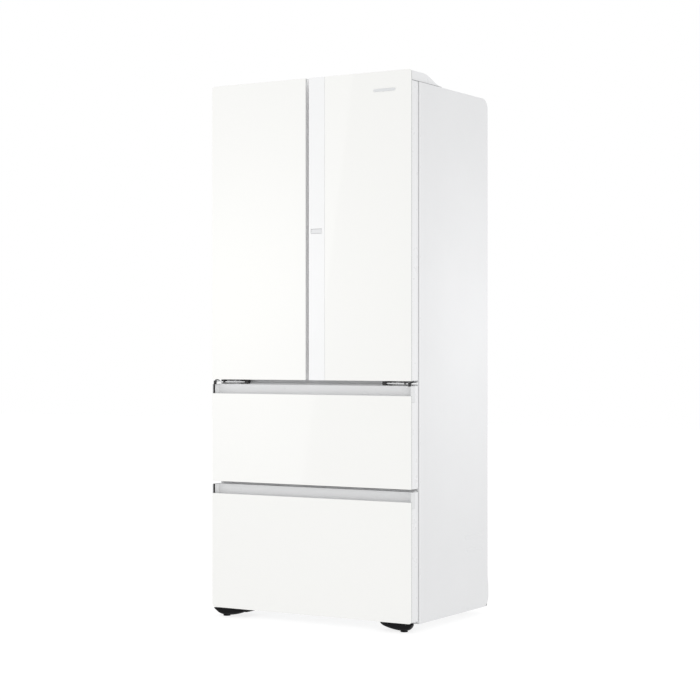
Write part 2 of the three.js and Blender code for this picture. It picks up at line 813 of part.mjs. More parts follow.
function placeDrawer(name, range, cornerRadius, runnerZ, basket) {
  const [low, high] = range;
  place(`${name}_drawer_glass`, drawerGlass(range, cornerRadius), materials.glass);
  place(`${name}_drawer_body`, drawerBody(range, cornerRadius), materials.trim);
  place(`${name}_drawer_grip`, drawerGrip(high), materials.grip);
  const seal = HALF - GASKET_INSET;
  place(`${name}_drawer_gasket`, gasket([-seal, seal], [low + 5, high - 3]), materials.rubber);
  place(`${name}_drawer_frame`, drawerFrame(runnerZ), materials.steel);
  place(`${name}_drawer_basket`, basket, materials.clear);
}

// ---------------------------------------------------------------- machine compartment
// Base tray with the forks and axles of the rollers.
function baseFrame() {
  const low = CABINET_BOTTOM;
  let frame = block(
    [-INSIDE, INSIDE],
    [FRAME_BACK + FIT, CABINET_REAR - SHEET - FIT],
    [low, low + SHEET],
  );
  const reach = ROLLER_RADIUS + ROLLER_GAP;
  const halfGap = ROLLER_WIDTH / 2 + ROLLER_GAP;
  for (const side of [-1, 1]) {
    const x = side * ROLLER_X;
    const ys = [ROLLER_Y - reach, ROLLER_Y + reach];
    frame = frame.subtract(block([x - halfGap, x + halfGap], ys, [0, CABINET_REAR]));
    for (const end of [-1, 1]) {
      const inner = x + end * (halfGap - 1);
      const fork = block(
        span(inner, inner + end * ROLLER_CHEEK),
        [ROLLER_Y - 14, ROLLER_Y + 14],
        [ROLLER_RADIUS - 8, low + SHEET + 14],
      );
      frame = frame.add(fork);
    }
    const axle = rod("x", AXLE_RADIUS, [x - halfGap - 1, ROLLER_Y, ROLLER_RADIUS], 2 * (halfGap + 1), 16);
    frame = frame.add(axle);
  }
  return frame;
}

function roller(side) {
  const start = side * ROLLER_X - ROLLER_WIDTH / 2;
  const wheel = rod("x", ROLLER_RADIUS, [start, ROLLER_Y, ROLLER_RADIUS], ROLLER_WIDTH, 32);
  const hole = rod("x", AXLE_RADIUS + 0.4, [start - 1, ROLLER_Y, ROLLER_RADIUS], ROLLER_WIDTH + 2, 16);
  return wheel.subtract(hole);
}

// Boat-shaped foot housing: a long shallow curve across and a shorter one front to back, with a
// tongue behind that is screwed up under the base.
function footHousing() {
  const belly = ([start, end], deepest) => {
    const shape = new THREE.Shape();
    shape.moveTo(start, HOUSING_TOP);
    shape.quadraticCurveTo(start + (deepest - start) * 0.45, HOUSING_LOW, deepest, HOUSING_LOW);
    shape.quadraticCurveTo(end - (end - deepest) * 0.25, HOUSING_LOW, end, HOUSING_TOP);
    shape.closePath();
    return shape;
  };
  const across = frontPlate(belly(HOUSING_X, FOOT_X), ...HOUSING_Y, 9);
  const along = sideProfile(belly(HOUSING_Y, FOOT_Y), ...HOUSING_X, 9);
  const tongue = block(TONGUE_X, [FOOT_Y, TONGUE_REAR], [TONGUE_LOW, CABINET_BOTTOM - FIT]);
  const well = rod("z", FOOT_RADIUS + FOOT_CLEAR, [FOOT_X, FOOT_Y, -5], 17, 32);
  const bore = rod("z", STEM_RADIUS + FOOT_CLEAR, [FOOT_X, FOOT_Y, 0], 40, 16);
  return across.intersect(along).add(tongue).subtract(well).subtract(bore);
}

// Levelling foot: a broad disc with a threaded stem up into the housing.
function levellingFoot(side) {
  const at = [side * FOOT_X, FOOT_Y];
  const disc = rod("z", FOOT_RADIUS, [...at, 0], 4, 32);
  const hub = rod("z", FOOT_RADIUS, [...at, 3.9], 4, 32, 8);
  const stem = rod("z", STEM_RADIUS, [...at, 7], STEM_TOP - 7, 16);
  return join(disc, hub, stem);
}

// Round canned compressor on a plate with four rubber mounts.
function compressor() {
  const base = CABINET_BOTTOM + SHEET;
  const profile = [
    [0, 0],
    [58, 0],
    [68, 8],
    [72, 24],
    [72, 72],
    [75, 76],
    [75, 82],
    [71, 86],
    [68, 112],
    [54, 132],
    [28, 142],
    [0, 144],
  ].map(([r, z]) => new THREE.Vector2(r, z));
  const can = new THREE.LatheGeometry(profile, 32);
  can.rotateX(Math.PI / 2);
  can.translate(COMPRESSOR_X, COMPRESSOR_Y, base + 12);
  const plateHalf = MOUNT_X + 10;
  let made = solid(can).add(
    block(
      [COMPRESSOR_X - plateHalf, COMPRESSOR_X + plateHalf],
      [COMPRESSOR_Y - MOUNT_Y - 12, COMPRESSOR_Y + MOUNT_Y + 12],
      [base + 8, base + 13],
    ),
  );
  for (const x of [COMPRESSOR_X - MOUNT_X, COMPRESSOR_X + MOUNT_X]) {
    for (const y of [COMPRESSOR_Y - MOUNT_Y, COMPRESSOR_Y + MOUNT_Y]) {
      made = made.add(rod("z", 9, [x, y, base + FIT], 9, 12));
    }
  }
  return made;
}

// Coil of the condenser: fins on three tubes.
function condenser() {
  const base = CABINET_BOTTOM + SHEET + FIT;
  const [start, end] = CONDENSER_X;
  const middle = (CONDENSER_Y[0] + CONDENSER_Y[1]) / 2;
  const pieces = TUBE_Z.map((z) => rod("x", 5, [start, middle, z], end - start, 8));
  const pitch = (end - start - 20) / (FIN_COUNT - 1);
  for (let i = 0; i < FIN_COUNT; i += 1) {
    const x = start + 9 + i * pitch;
    pieces.push(block([x, x + 2], CONDENSER_Y, [base, CONDENSER_TOP]));
  }
  pieces.push(block(CONDENSER_X, [CONDENSER_Y[0], CONDENSER_Y[0] + 4], [base, base + 6]));
  return join(...pieces);
}

// Upright plate around the fan, with its motor on a bar behind.
function fanShroud() {
  const base = CABINET_BOTTOM + SHEET + FIT;
  const plate = block(
    [FAN_X - 2, FAN_X + 2],
    [FAN_Y - SHROUD_HALF, FAN_Y + SHROUD_HALF],
    [base, FAN_Z + SHROUD_HALF],
  );
  const hole = rod("x", FAN_RADIUS + 4, [FAN_X - 10, FAN_Y, FAN_Z], 20, 36);
  const motorX = FAN_X + 16;
  const motor = rod("x", 20, [motorX, FAN_Y, FAN_Z], 24, 20);
  const barY = [FAN_Y - 5, FAN_Y + 5];
  const reach = FAN_RADIUS + 7;
  const bar = block([motorX + 4, motorX + 8], barY, [FAN_Z - reach - 1, FAN_Z + reach + 1]);
  const ends = [-reach, reach].map((z) =>
    block([FAN_X, motorX + 8], barY, [FAN_Z + z - 2, FAN_Z + z + 2]),
  );
  return join(plate.subtract(hole), motor, bar, ...ends);
}

function fanRotor() {
  const length = FAN_RADIUS - 12;
  const pieces = [rod("x", 16, [FAN_X - 10, FAN_Y, FAN_Z], 20, 20)];
  for (let i = 0; i < BLADE_COUNT; i += 1) {
    const blade = new THREE.BoxGeometry(2, 28, length);
    blade.translate(0, 0, 11 + length / 2);
    blade.rotateZ(BLADE_PITCH);
    blade.rotateX((2 * Math.PI * i) / BLADE_COUNT);
    blade.translate(FAN_X, FAN_Y, FAN_Z);
    pieces.push(solid(blade));
  }
  return join(...pieces);
}

// Dished, louvred cover over the machine compartment.
function rearCover() {
  const low = CABINET_BOTTOM + SHEET + FIT;
  const front = CABINET_REAR - SHEET;
  const xs = [-REAR_COVER_HALF, REAR_COVER_HALF];
  const zs = [low + 10, MACHINE_TOP - 14];
  const flange = block([-INSIDE, INSIDE], [front, front + SHEET], [low, MACHINE_TOP - FIT]);
  const dish = frontPlate(roundedRect(xs, zs, REAR_COVER_RADIUS), front, DEPTH);
  const hollow = frontPlate(
    roundedRect(
      within(xs, REAR_COVER_WALL),
      within(zs, REAR_COVER_WALL),
      REAR_COVER_RADIUS - REAR_COVER_WALL,
    ),
    front - 1,
    DEPTH - REAR_COVER_WALL,
  );
  let cover = flange.add(dish).subtract(hollow);
  for (let row = 0; row < LOUVRE_ROWS; row += 1) {
    const z = LOUVRE_LOW + row * LOUVRE_PITCH;
    for (const x of LOUVRE_X) {
      const slot = block([x - LOUVRE_HALF, x + LOUVRE_HALF], [DEPTH - 4, DEPTH + 1], [z, z + LOUVRE_HEIGHT]);
      cover = cover.subtract(slot);
    }
  }
  return cover.subtract(block(INLET_X, [front - 2, DEPTH + 1], INLET_Z));
}

// Appliance inlet with three contact pins in its socket.
function mainsInlet() {
  const xs = within(INLET_X, FIT);
  const zs = within(INLET_Z, FIT);
  const housing = block(xs, [DEPTH - INLET_DEPTH, DEPTH - 1], zs);
  const socket = block(within(xs, 3), [DEPTH - 20, DEPTH], within(zs, 3));
  const middle = (xs[0] + xs[1]) / 2;
  const pins = [
    [middle - 7, zs[0] + 9],
    [middle, zs[0] + 14],
    [middle + 7, zs[0] + 9],
  ].map(([x, z]) => block([x - 1, x + 1], [DEPTH - 21, DEPTH - 8], [z - 2, z + 2]));
  return join(housing.subtract(socket), ...pins);
}

// ---------------------------------------------------------------- assembly
placePair("side_panel", sidePanel(), materials.paint);
place("top_panel", topPanel(), materials.paint);
place("back_panel", backPanel(), materials.steel);
place("machine_bulkhead", machineBulkhead(), materials.steel);
place("base_frame", baseFrame(), materials.steel);
place("face_frame", faceFrame(), materials.paint);
place("foam_insulation", foam(), materials.foam);
place("room_liner", roomLiner(), materials.liner);
place("drawer_liner", drawerLiner(), materials.liner);
place("centre_post", centrePost(), materials.trim);

["upper", "middle", "lower"].forEach((level, i) => {
  place(`shelf_${level}`, shelf(SHELF_Z[i]), materials.clear);
});
placePair("crisper", crisper(), materials.clear);

placePair("top_hinge", topHinge(), materials.steel);
placePair("hinge_cover", hingeCover(), materials.paint);
placePair("middle_hinge", middleHinge(), materials.steel);

place("compressor", compressor(), materials.machine);
place("condenser", condenser(), materials.copper);
place("fan_shroud", fanShroud(), materials.dark);
place("fan_rotor", fanRotor(), materials.dark);
place("rear_cover", rearCover(), materials.steel);
place("mains_inlet", mainsInlet(), materials.dark);

placePair("foot_housing", footHousing(), materials.dark);
place("levelling_foot_right", levellingFoot(1), materials.dark);
place("levelling_foot_left", levellingFoot(-1), materials.dark);
place("rear_roller_right", roller(1), materials.dark);
place("rear_roller_left", roller(-1), materials.dark);

placeDoor("left");
placeDoor("right");
placeDrawer("upper", UPPER_DRAWER, 1.5, UPPER_RUNNER_Z, upperBasket());
placeDrawer("lower", LOWER_DRAWER, OUTER_RADIUS, LOWER_RUNNER_Z, lowerBasket());

export default part;
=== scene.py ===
"""French door refrigerator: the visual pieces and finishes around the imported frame.

Metres, in the frame's own axes: X to the right seen from the front, Y to the back, Z up."""
import json
import math

import bmesh
import bpy
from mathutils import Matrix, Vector


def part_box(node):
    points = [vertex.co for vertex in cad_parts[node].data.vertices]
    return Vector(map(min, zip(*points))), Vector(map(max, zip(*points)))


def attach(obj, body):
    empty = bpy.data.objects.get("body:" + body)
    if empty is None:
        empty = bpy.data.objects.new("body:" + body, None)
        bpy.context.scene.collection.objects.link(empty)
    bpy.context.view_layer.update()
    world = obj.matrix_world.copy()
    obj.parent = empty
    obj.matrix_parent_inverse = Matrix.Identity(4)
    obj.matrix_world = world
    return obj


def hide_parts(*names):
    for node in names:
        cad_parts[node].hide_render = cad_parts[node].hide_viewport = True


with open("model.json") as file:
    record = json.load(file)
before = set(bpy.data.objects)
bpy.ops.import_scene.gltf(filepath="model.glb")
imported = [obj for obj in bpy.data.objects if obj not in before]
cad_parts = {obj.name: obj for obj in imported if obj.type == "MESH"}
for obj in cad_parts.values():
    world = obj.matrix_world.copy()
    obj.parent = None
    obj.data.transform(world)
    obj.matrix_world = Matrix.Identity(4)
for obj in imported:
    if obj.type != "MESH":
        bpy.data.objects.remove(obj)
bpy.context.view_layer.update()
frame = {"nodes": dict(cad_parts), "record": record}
MM = 0.001

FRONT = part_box("left_door_glass")[0].y  # the front face of the glass
X_AXIS, Y_AXIS, Z_AXIS = "x", "y", "z"


# ---------------------------------------------------------------- camera, lights and floor
def make_camera():
    """Level camera with a long lens, in front of the object and to its right."""
    data = bpy.data.cameras.new("camera")
    data.lens = 92.3
    data.sensor_width = 36
    data.clip_end = 60
    camera = bpy.data.objects.new("camera", data)
    bpy.context.scene.collection.objects.link(camera)
    camera.location = (3.166, FRONT - 4.995, 0.904)
    camera.rotation_euler = (math.radians(90), 0, math.radians(31.04))
    bpy.context.scene.camera = camera


def area_light(name, place, target, size, power):
    """Rectangular light at a place, turned to face a target, that the camera doesn't see."""
    data = bpy.data.lights.new(name, "AREA")
    data.shape = "RECTANGLE"
    data.size, data.size_y = size
    data.energy = power
    light = bpy.data.objects.new(name, data)
    bpy.context.scene.collection.objects.link(light)
    light.location = place
    light.rotation_euler = (Vector(target) - Vector(place)).to_track_quat("-Z", "Y").to_euler()
    light.visible_camera = False
    return light


def make_lights():
    """White surroundings, a tilted soft box whose edge shows in the glass, and two small glows.

    One glow is before the left door and one beside the right side. Neither shows in reflections."""
    scene = bpy.context.scene
    scene.view_settings.view_transform = "Standard"
    world = bpy.data.worlds.new("studio")
    world.use_nodes = True
    background = world.node_tree.nodes["Background"]
    background.inputs["Color"].default_value = (1.0, 1.0, 1.0, 1)
    background.inputs["Strength"].default_value = 1.0
    scene.world = world
    box_x, box_z, box_tilt = -3.48, 1.62, -8.2
    soft_box = area_light("soft_box", (box_x, -5.0, box_z), (box_x, 0, box_z), (1.34, 3.2), 6)
    soft_box.rotation_euler.rotate_axis("Z", math.radians(box_tilt))
    glow_size = (0.3, 0.3)
    for name, place, target, power in (
        ("front_glow", (-0.34, FRONT - 0.78, 1.08), (-0.34, 0, 1.08), 0.62),
        ("side_glow", (1.07, 0.16, 0.98), (0, 0.16, 0.98), 1.0),
    ):
        area_light(name, place, target, glow_size, power).visible_glossy = False


def make_floor():
    """Plain pale floor that glows a little, so that it blends into the surroundings."""
    bm = bmesh.new()
    bmesh.ops.create_grid(bm, x_segments=1, y_segments=1, size=14)
    mesh = bpy.data.meshes.new("floor")
    bm.to_mesh(mesh)
    bm.free()
    floor = bpy.data.objects.new("floor", mesh)
    bpy.context.scene.collection.objects.link(floor)
    paint, nodes, _ = new_material("studio_floor", (0.2, 0.2, 0.2), 0.85)
    shader = nodes["Principled BSDF"]
    shader.inputs["Emission Color"].default_value = (1, 1, 1, 1)
    shader.inputs["Emission Strength"].default_value = 0.81
    mesh.materials.append(paint)


# ---------------------------------------------------------------- materials
def new_material(name, color, roughness, metallic=0.0):
    """A plain material, with its nodes and links for the finishes to add to."""
    made = bpy.data.materials.new(name)
    made.use_nodes = True
    nodes, links = made.node_tree.nodes, made.node_tree.links
    shader = nodes["Principled BSDF"]
    shader.inputs["Base Color"].default_value = (*color, 1)
    shader.inputs["Roughness"].default_value = roughness
    shader.inputs["Metallic"].default_value = metallic
    return made, nodes, links


def noise(nodes, links, scale, detail=3.0, stretch=(1, 1, 1)):
    """Noise over the object's own coordinates; stretch below 1 draws it out along that axis."""
    place = nodes.new("ShaderNodeTexCoord")
    mapping = nodes.new("ShaderNodeMapping")
    mapping.inputs["Scale"].default_value = stretch
    texture = nodes.new("ShaderNodeTexNoise")
    texture.inputs["Scale"].default_value = scale
    texture.inputs["Detail"].default_value = detail
    links.new(place.outputs["Object"], mapping.inputs["Vector"])
    links.new(mapping.outputs["Vector"], texture.inputs["Vector"])
    return texture.outputs["Fac"]


# The middle of a noise texture's range, which the colour and gloss are spread over.
NOISE_LOW, NOISE_HIGH = 0.3, 0.7


def vary_color(nodes, links, source, dark, light):
    """Colour that goes from dark to light with the source."""
    ramp = nodes.new("ShaderNodeValToRGB")
    ramp.color_ramp.elements[0].position = NOISE_LOW
    ramp.color_ramp.elements[1].position = NOISE_HIGH
    ramp.color_ramp.elements[0].color = (*dark, 1)
    ramp.color_ramp.elements[1].color = (*light, 1)
    links.new(source, ramp.inputs["Fac"])
    links.new(ramp.outputs["Color"], nodes["Principled BSDF"].inputs["Base Color"])


def vary_roughness(nodes, links, source, low, high):
    """Roughness that goes from low to high with the source."""
    spread = nodes.new("ShaderNodeMapRange")
    spread.inputs["From Min"].default_value = NOISE_LOW
    spread.inputs["From Max"].default_value = NOISE_HIGH
    spread.inputs["To Min"].default_value = low
    spread.inputs["To Max"].default_value = high
    links.new(source, spread.inputs["Value"])
    links.new(spread.outputs["Result"], nodes["Principled BSDF"].inputs["Roughness"])


def add_bump(nodes, links, source, strength, distance):
    """Fine relief that follows the source, with its full height in metres."""
    bump = nodes.new("ShaderNodeBump")
    bump.inputs["Strength"].default_value = strength
    bump.inputs["Distance"].default_value = distance
    links.new(source, bump.inputs["Height"])
    links.new(bump.outputs["Normal"], nodes["Principled BSDF"].inputs["Normal"])


def scaled(color, by):
    """A colour made darker or lighter, up to full white."""
    return tuple(min(1.0, c * by) for c in color)


def smooth_finish(name, color, roughness, spread=0.03, metallic=0.0, grain=900, bump=0.05):
    """A painted or moulded finish: faint clouding of its colour and gloss, and a fine skin."""
    made, nodes, links = new_material(name, color, roughness, metallic)
    clouds = noise(nodes, links, 6.0, 2.0)
    vary_color(nodes, links, clouds, scaled(color, 0.985), scaled(color, 1.0))
    vary_roughness(nodes, links, noise(nodes, links, 40.0), roughness - spread, roughness + spread)
    add_bump(nodes, links, noise(nodes, links, grain, 2.0), bump, 0.0002)
    return made


def brushed_metal(name, color, roughness):
    """Metal with fine lines drawn out along X."""
    made, nodes, links = new_material(name, color, roughness, 1.0)
    lines = noise(nodes, links, 700, 4.0, (0.02, 1, 1))
    vary_color(nodes, links, lines, scaled(color, 0.9), color)
    vary_roughness(nodes, links, lines, roughness - 0.08, roughness + 0.08)
    add_bump(nodes, links, lines, 0.12, 0.0002)
    return made


def clear_finish(name, color, roughness):
    """A clear moulding or pane, with a faint ripple."""
    made, nodes, links = new_material(name, color, roughness)
    shader = nodes["Principled BSDF"]
    shader.inputs["Transmission Weight"].default_value = 0.92
    shader.inputs["IOR"].default_value = 1.49
    vary_roughness(nodes, links, noise(nodes, links, 30.0), roughness, roughness + 0.05)
    add_bump(nodes, links, noise(nodes, links, 18.0, 1.0), 0.05, 0.0006)
    return made


def white_glass_finish():
    """Toughened glass painted white behind: a hard, even gloss over a warm white."""
    color = (0.871, 0.871, 0.853)
    made, nodes, links = new_material("white_glass_face", color, 0.05)
    shader = nodes["Principled BSDF"]
    shader.inputs["IOR"].default_value = 1.52
    vary_color(nodes, links, noise(nodes, links, 1.6, 1.0), scaled(color, 0.993), color)
    vary_roughness(nodes, links, noise(nodes, links, 14.0, 2.0), 0.008, 0.016)
    add_bump(nodes, links, noise(nodes, links, 3.0, 0.0), 0.003, 0.001)
    return made


def foam_finish():
    """Cut foam with small open cells."""
    color = (0.84, 0.78, 0.6)
    made, nodes, links = new_material("foam_cells", color, 0.9)
    cells = nodes.new("ShaderNodeTexVoronoi")
    cells.inputs["Scale"].default_value = 400
    place = nodes.new("ShaderNodeTexCoord")
    links.new(place.outputs["Object"], cells.inputs["Vector"])
    vary_color(nodes, links, noise(nodes, links, 60.0), scaled(color, 0.85), color)
    add_bump(nodes, links, cells.outputs["Distance"], 0.5, 0.0006)
    return made


def foot_finish():
    """Matt black rubber with very little sheen."""
    color = (0.006, 0.006, 0.007)
    made, nodes, links = new_material("matt_black_rubber", color, 0.5)
    nodes["Principled BSDF"].inputs["IOR"].default_value = 1.2
    vary_color(nodes, links, noise(nodes, links, 30.0), scaled(color, 0.6), color)
    add_bump(nodes, links, noise(nodes, links, 500.0), 0.2, 0.0003)
    return made


def lamp_finish():
    """A frosted lens with a warm glow."""
    made, nodes, links = new_material("lamp_lens", (0.95, 0.95, 0.93), 0.3)
    shader = nodes["Principled BSDF"]
    shader.inputs["Emission Color"].default_value = (1, 0.97, 0.9, 1)
    shader.inputs["Emission Strength"].default_value = 1.2
    add_bump(nodes, links, noise(nodes, links, 300, 1.0), 0.3, 0.0005)
    return made


FINISHES = {
    "white_glass": white_glass_finish(),
    "glass_edge": smooth_finish("glass_edge", (0.46, 0.48, 0.47), 0.12, 0.04),
    "white_paint": smooth_finish(
        "white_powder_coat", (0.725, 0.728, 0.735), 0.38, 0.05, grain=1400, bump=0.16
    ),
    "white_trim": smooth_finish("white_moulding", (0.76, 0.763, 0.77), 0.3, 0.04),
    "strip_white": smooth_finish("strip_moulding", (0.86, 0.863, 0.866), 0.16, 0.03),
    # The door edges' white, paler than the door moulding: painted light in the gap between the doors.
    "gap_edge_lightened": smooth_finish("gap_edge_white_painted_light", (0.96, 0.96, 0.96), 0.3, 0.03),
    "grip_grey": smooth_finish(
        "silver_grey_moulding", (0.7, 0.705, 0.71), 0.36, 0.05, metallic=0.1
    ),
    # The channel's finish is the cheeks' silver grey made lighter: painted light against the shade in
    # the grip's recess.
    "grip_grey_lightened": smooth_finish("channel_grey_painted_light", (0.78, 0.783, 0.788), 0.3, 0.03),
    "liner_white": smooth_finish(
        "liner_skin", (0.87, 0.875, 0.88), 0.34, 0.05, grain=500, bump=0.08
    ),
    "clear_plastic": clear_finish("clear_moulding", (0.93, 0.96, 0.97), 0.06),
    "shelf_glass": clear_finish("shelf_pane", (0.9, 0.97, 0.95), 0.02),
    # Pale seal rubber, its colour lifted further as painted light in the shaded gaps round the doors and
    # drawers.
    "gasket_grey": smooth_finish(
        "seal_rubber_lightened", (0.86, 0.863, 0.866), 0.6, 0.06, grain=800, bump=0.2
    ),
    "black_plastic": smooth_finish(
        "black_moulding", (0.01, 0.01, 0.011), 0.3, 0.05, grain=700, bump=0.2
    ),
    "foot_black": foot_finish(),
    "hinge_pale": smooth_finish(
        "pale_zinc_paint", (0.88, 0.885, 0.89), 0.35, 0.05, grain=300, bump=0.3
    ),
    # A dark grey for the shadow line under the hinge covers: painted shade.
    "painted_shade_grey": smooth_finish("painted_shade_pad", (0.3, 0.3, 0.31), 0.5, 0.05),
    "zinc_steel": brushed_metal("zinc_plate", (0.66, 0.67, 0.68), 0.34),
    "foam": foam_finish(),
    "machine_black": smooth_finish(
        "black_enamel", (0.022, 0.022, 0.026), 0.28, 0.05, grain=300, bump=0.2
    ),
    "coil_black": smooth_finish(
        "coil_enamel", (0.03, 0.03, 0.034), 0.42, 0.05, grain=500, bump=0.2
    ),
    "copper": brushed_metal("copper_tube", (0.72, 0.42, 0.28), 0.32),
    "key_grey": smooth_finish("key_cap", (0.74, 0.745, 0.755), 0.32, 0.04),
    "badge_metal": brushed_metal("badge_plate", (0.72, 0.73, 0.74), 0.3),
    "lamp": lamp_finish(),
}


# ---------------------------------------------------------------- mesh helpers
def arc(centre, radius, start, end, steps):
    """Points of an arc from start to end, in degrees."""
    turn = [math.radians(start + (end - start) * i / steps) for i in range(steps + 1)]
    return [(centre[0] + radius * math.cos(t), centre[1] + radius * math.sin(t)) for t in turn]


def rounded(a0, a1, b0, b1, radii, steps=8):
    """A rectangle's outline, anticlockwise from its low-low corner, with its corner radii."""
    if not isinstance(radii, (list, tuple)):
        radii = [radii] * 4
    ll, hl, hh, lh = radii
    return (
        arc((a0 + ll, b0 + ll), ll, 180, 270, steps)
        + arc((a1 - hl, b0 + hl), hl, 270, 360, steps)
        + arc((a1 - hh, b1 - hh), hh, 0, 90, steps)
        + arc((a0 + lh, b1 - lh), lh, 90, 180, steps)
    )


def point_on(axis, a, b, along):
    """A point from its place in the outline's plane and its place along the axis."""
    return {X_AXIS: (along, a, b), Y_AXIS: (a, along, b), Z_AXIS: (a, b, along)}[axis]


def prism(bm, axis, outline, low, high):
    """A closed prism of an outline, drawn out along an axis."""
    loops = [[bm.verts.new(point_on(axis, a, b, at)) for a, b in outline] for at in (low, high)]
    bm.faces.new(loops[0][::-1])
    bm.faces.new(loops[1])
    count = len(outline)
    for i in range(count):
        j = (i + 1) % count
        bm.faces.new((loops[0][i], loops[0][j], loops[1][j], loops[1][i]))


def ring(bm, axis, outer, inner, low, high):
    """A prism with a hole, from two outlines with the same number of points."""
    count = len(outer)
    rows = []
    for outline in (outer, inner):
        for at in (low, high):
            rows.append([bm.verts.new(point_on(axis, a, b, at)) for a, b in outline])
    outer_low, outer_high, inner_low, inner_high = rows
    for i in range(count):
        j = (i + 1) % count
        bm.faces.new((outer_low[i], outer_low[j], outer_high[j], outer_high[i]))
        bm.faces.new((inner_low[j], inner_low[i], inner_high[i], inner_high[j]))
        bm.faces.new((outer_low[j], outer_low[i], inner_low[i], inner_low[j]))
        bm.faces.new((outer_high[i], outer_high[j], inner_high[j], inner_high[i]))


def loft(bm, sections):
    """A skin through closed sections, each a list of points, with both ends filled."""
    rows = [[bm.verts.new(p) for p in section] for section in sections]
    count = len(rows[0])
    for row, after in zip(rows, rows[1:]):
        for i in range(count):
            j = (i + 1) % count
            bm.faces.new((row[i], row[j], after[j], after[i]))
    bm.faces.new(rows[0][::-1])
    bm.faces.new(rows[-1])


def cylinder(bm, axis, centre, radius, low, high, sides=24):
    """A round prism along an axis, with that many sides."""
    outline = arc(centre, radius, 0, 360 * (sides - 1) / sides, sides - 1)
    prism(bm, axis, outline, low, high)


def block(bm, x_ends, y_ends, z_ends):
    """A box from its two ends along each axis, given in either order."""
    (x0, x1), (y0, y1), heights = sorted(x_ends), sorted(y_ends), sorted(z_ends)
    prism(bm, Z_AXIS, [(x0, y0), (x1, y0), (x1, y1), (x0, y1)], *heights)


def soften(bm, width, segments=2, angle=35):
    """Rounds every edge that turns by more than the angle."""
    bmesh.ops.recalc_face_normals(bm, faces=bm.faces)
    limit = math.radians(angle)
    edges = [e for e in bm.edges if len(e.link_faces) == 2 and e.calc_face_angle(0) > limit]
    if edges and width > 0:
        bmesh.ops.bevel(
            bm,
            geom=edges,
            offset=width,
            segments=segments,
            profile=0.5,
            affect="EDGES",
            clamp_overlap=True,
        )


FACING = 0.6  # a face whose normal has more of Y than this looks to the front or the back
SHARP_ANGLE = 50  # degrees between faces from which an edge stays sharp


def piece(name, bm, body, finish, nodes=(), width=0.0, segments=2, angle=35, edge_finish=None):
    """Turns the mesh into a named piece that rides on a body and stands for the CAD nodes named.

    Edges sharper than the angle are rounded to the width. An edge finish goes on all the faces
    that look neither to the front nor to the back."""
    soften(bm, width, segments, angle)
    bmesh.ops.recalc_face_normals(bm, faces=bm.faces)
    mesh = bpy.data.meshes.new(name)
    bm.to_mesh(mesh)
    bm.free()
    mesh.materials.append(FINISHES[finish])
    if edge_finish:
        mesh.materials.append(FINISHES[edge_finish])
        for face in mesh.polygons:
            face.material_index = 0 if abs(face.normal.y) > FACING else 1
    mesh.polygons.foreach_set("use_smooth", [True] * len(mesh.polygons))
    mesh.set_sharp_from_angle(angle=math.radians(SHARP_ANGLE))
    made = bpy.data.objects.new(name, mesh)
    bpy.context.scene.collection.objects.link(made)
    weighted = made.modifiers.new("even_shading", "WEIGHTED_NORMAL")
    weighted.keep_sharp = True
    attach(made, body)
    if nodes:
        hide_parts(*nodes)


def body_named(node):
    """The body that a CAD node belongs to."""
    for body, members in frame["record"]["behaviour"]["bodies"].items():
        if node in members:
            return body
    raise KeyError(node)


WELD = 2e-6  # metres within which a CAD mesh's points are one
FLAT_ANGLE = 0.4  # degrees within which neighbouring faces are one


def refined(node, finish, width, segments=2):
    """The CAD node's own shape with its edges rounded and its round faces smooth."""
    bm = bmesh.new()
    bm.from_mesh(frame["nodes"][node].data)
    bmesh.ops.remove_doubles(bm, verts=bm.verts, dist=WELD)
    flat = math.radians(FLAT_ANGLE)
    bmesh.ops.dissolve_limit(bm, angle_limit=flat, verts=bm.verts, edges=bm.edges)
    piece(f"{node}_fine", bm, body_named(node), finish, [node], width * MM, segments)


def front_outline(low, high, by=0.0):
    """A box's edges seen from the front, as left, right, bottom and top, each moved out."""
    return low.x - by, high.x + by, low.z - by, high.z + by


def outer_and_inner(low, high, side):
    """The x of a box's face that looks to that side of the object, and of the opposite one."""
    return (high.x, low.x) if side > 0 else (low.x, high.x)


# ---------------------------------------------------------------- doors and drawers
OUTER_RADIUS = 11 * MM  # the glass's corners at the outer corners of the whole front
SQUARE_CORNER = 1 * MM  # its corners beside another pane
SIDES = {"left": -1, "right": 1}


def corner_radii(side, outer):
    """Corner radii of a door front: its outer top corner has the full one, its outer low a third."""
    if side < 0:
        return outer / 3, SQUARE_CORNER, SQUARE_CORNER, outer
    return SQUARE_CORNER, outer / 3, outer, SQUARE_CORNER


def glass_panel(node, radii):
    """Pane with a fine rounded rim, which shows greyer than its face."""
    low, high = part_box(node)
    bm = bmesh.new()
    prism(bm, Y_AXIS, rounded(*front_outline(low, high), radii, 10), low.y, high.y)
    name, body = f"{node}_panel", body_named(node)
    piece(name, bm, body, "white_glass", [node], 0.7 * MM, 3, 60, edge_finish="glass_edge")


def edge_band(node, radii, name):
    """Fine raised band round the front of an insulated body, just behind the glass."""
    low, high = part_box(node)
    proud, cover, thickness = 0.25 * MM, 0.6 * MM, 1.4 * MM
    front = low.y + 0.1 * MM
    inner_radii = [max(r - 0.8 * MM, 0.1 * MM) for r in radii]
    outer = rounded(*front_outline(low, high, proud), radii, 10)
    inner = rounded(*front_outline(low, high, -cover), inner_radii, 10)
    bm = bmesh.new()
    ring(bm, Y_AXIS, outer, inner, front, front + thickness)
    piece(name, bm, body_named(node), "white_trim", (), 0.2 * MM, 2, 40)


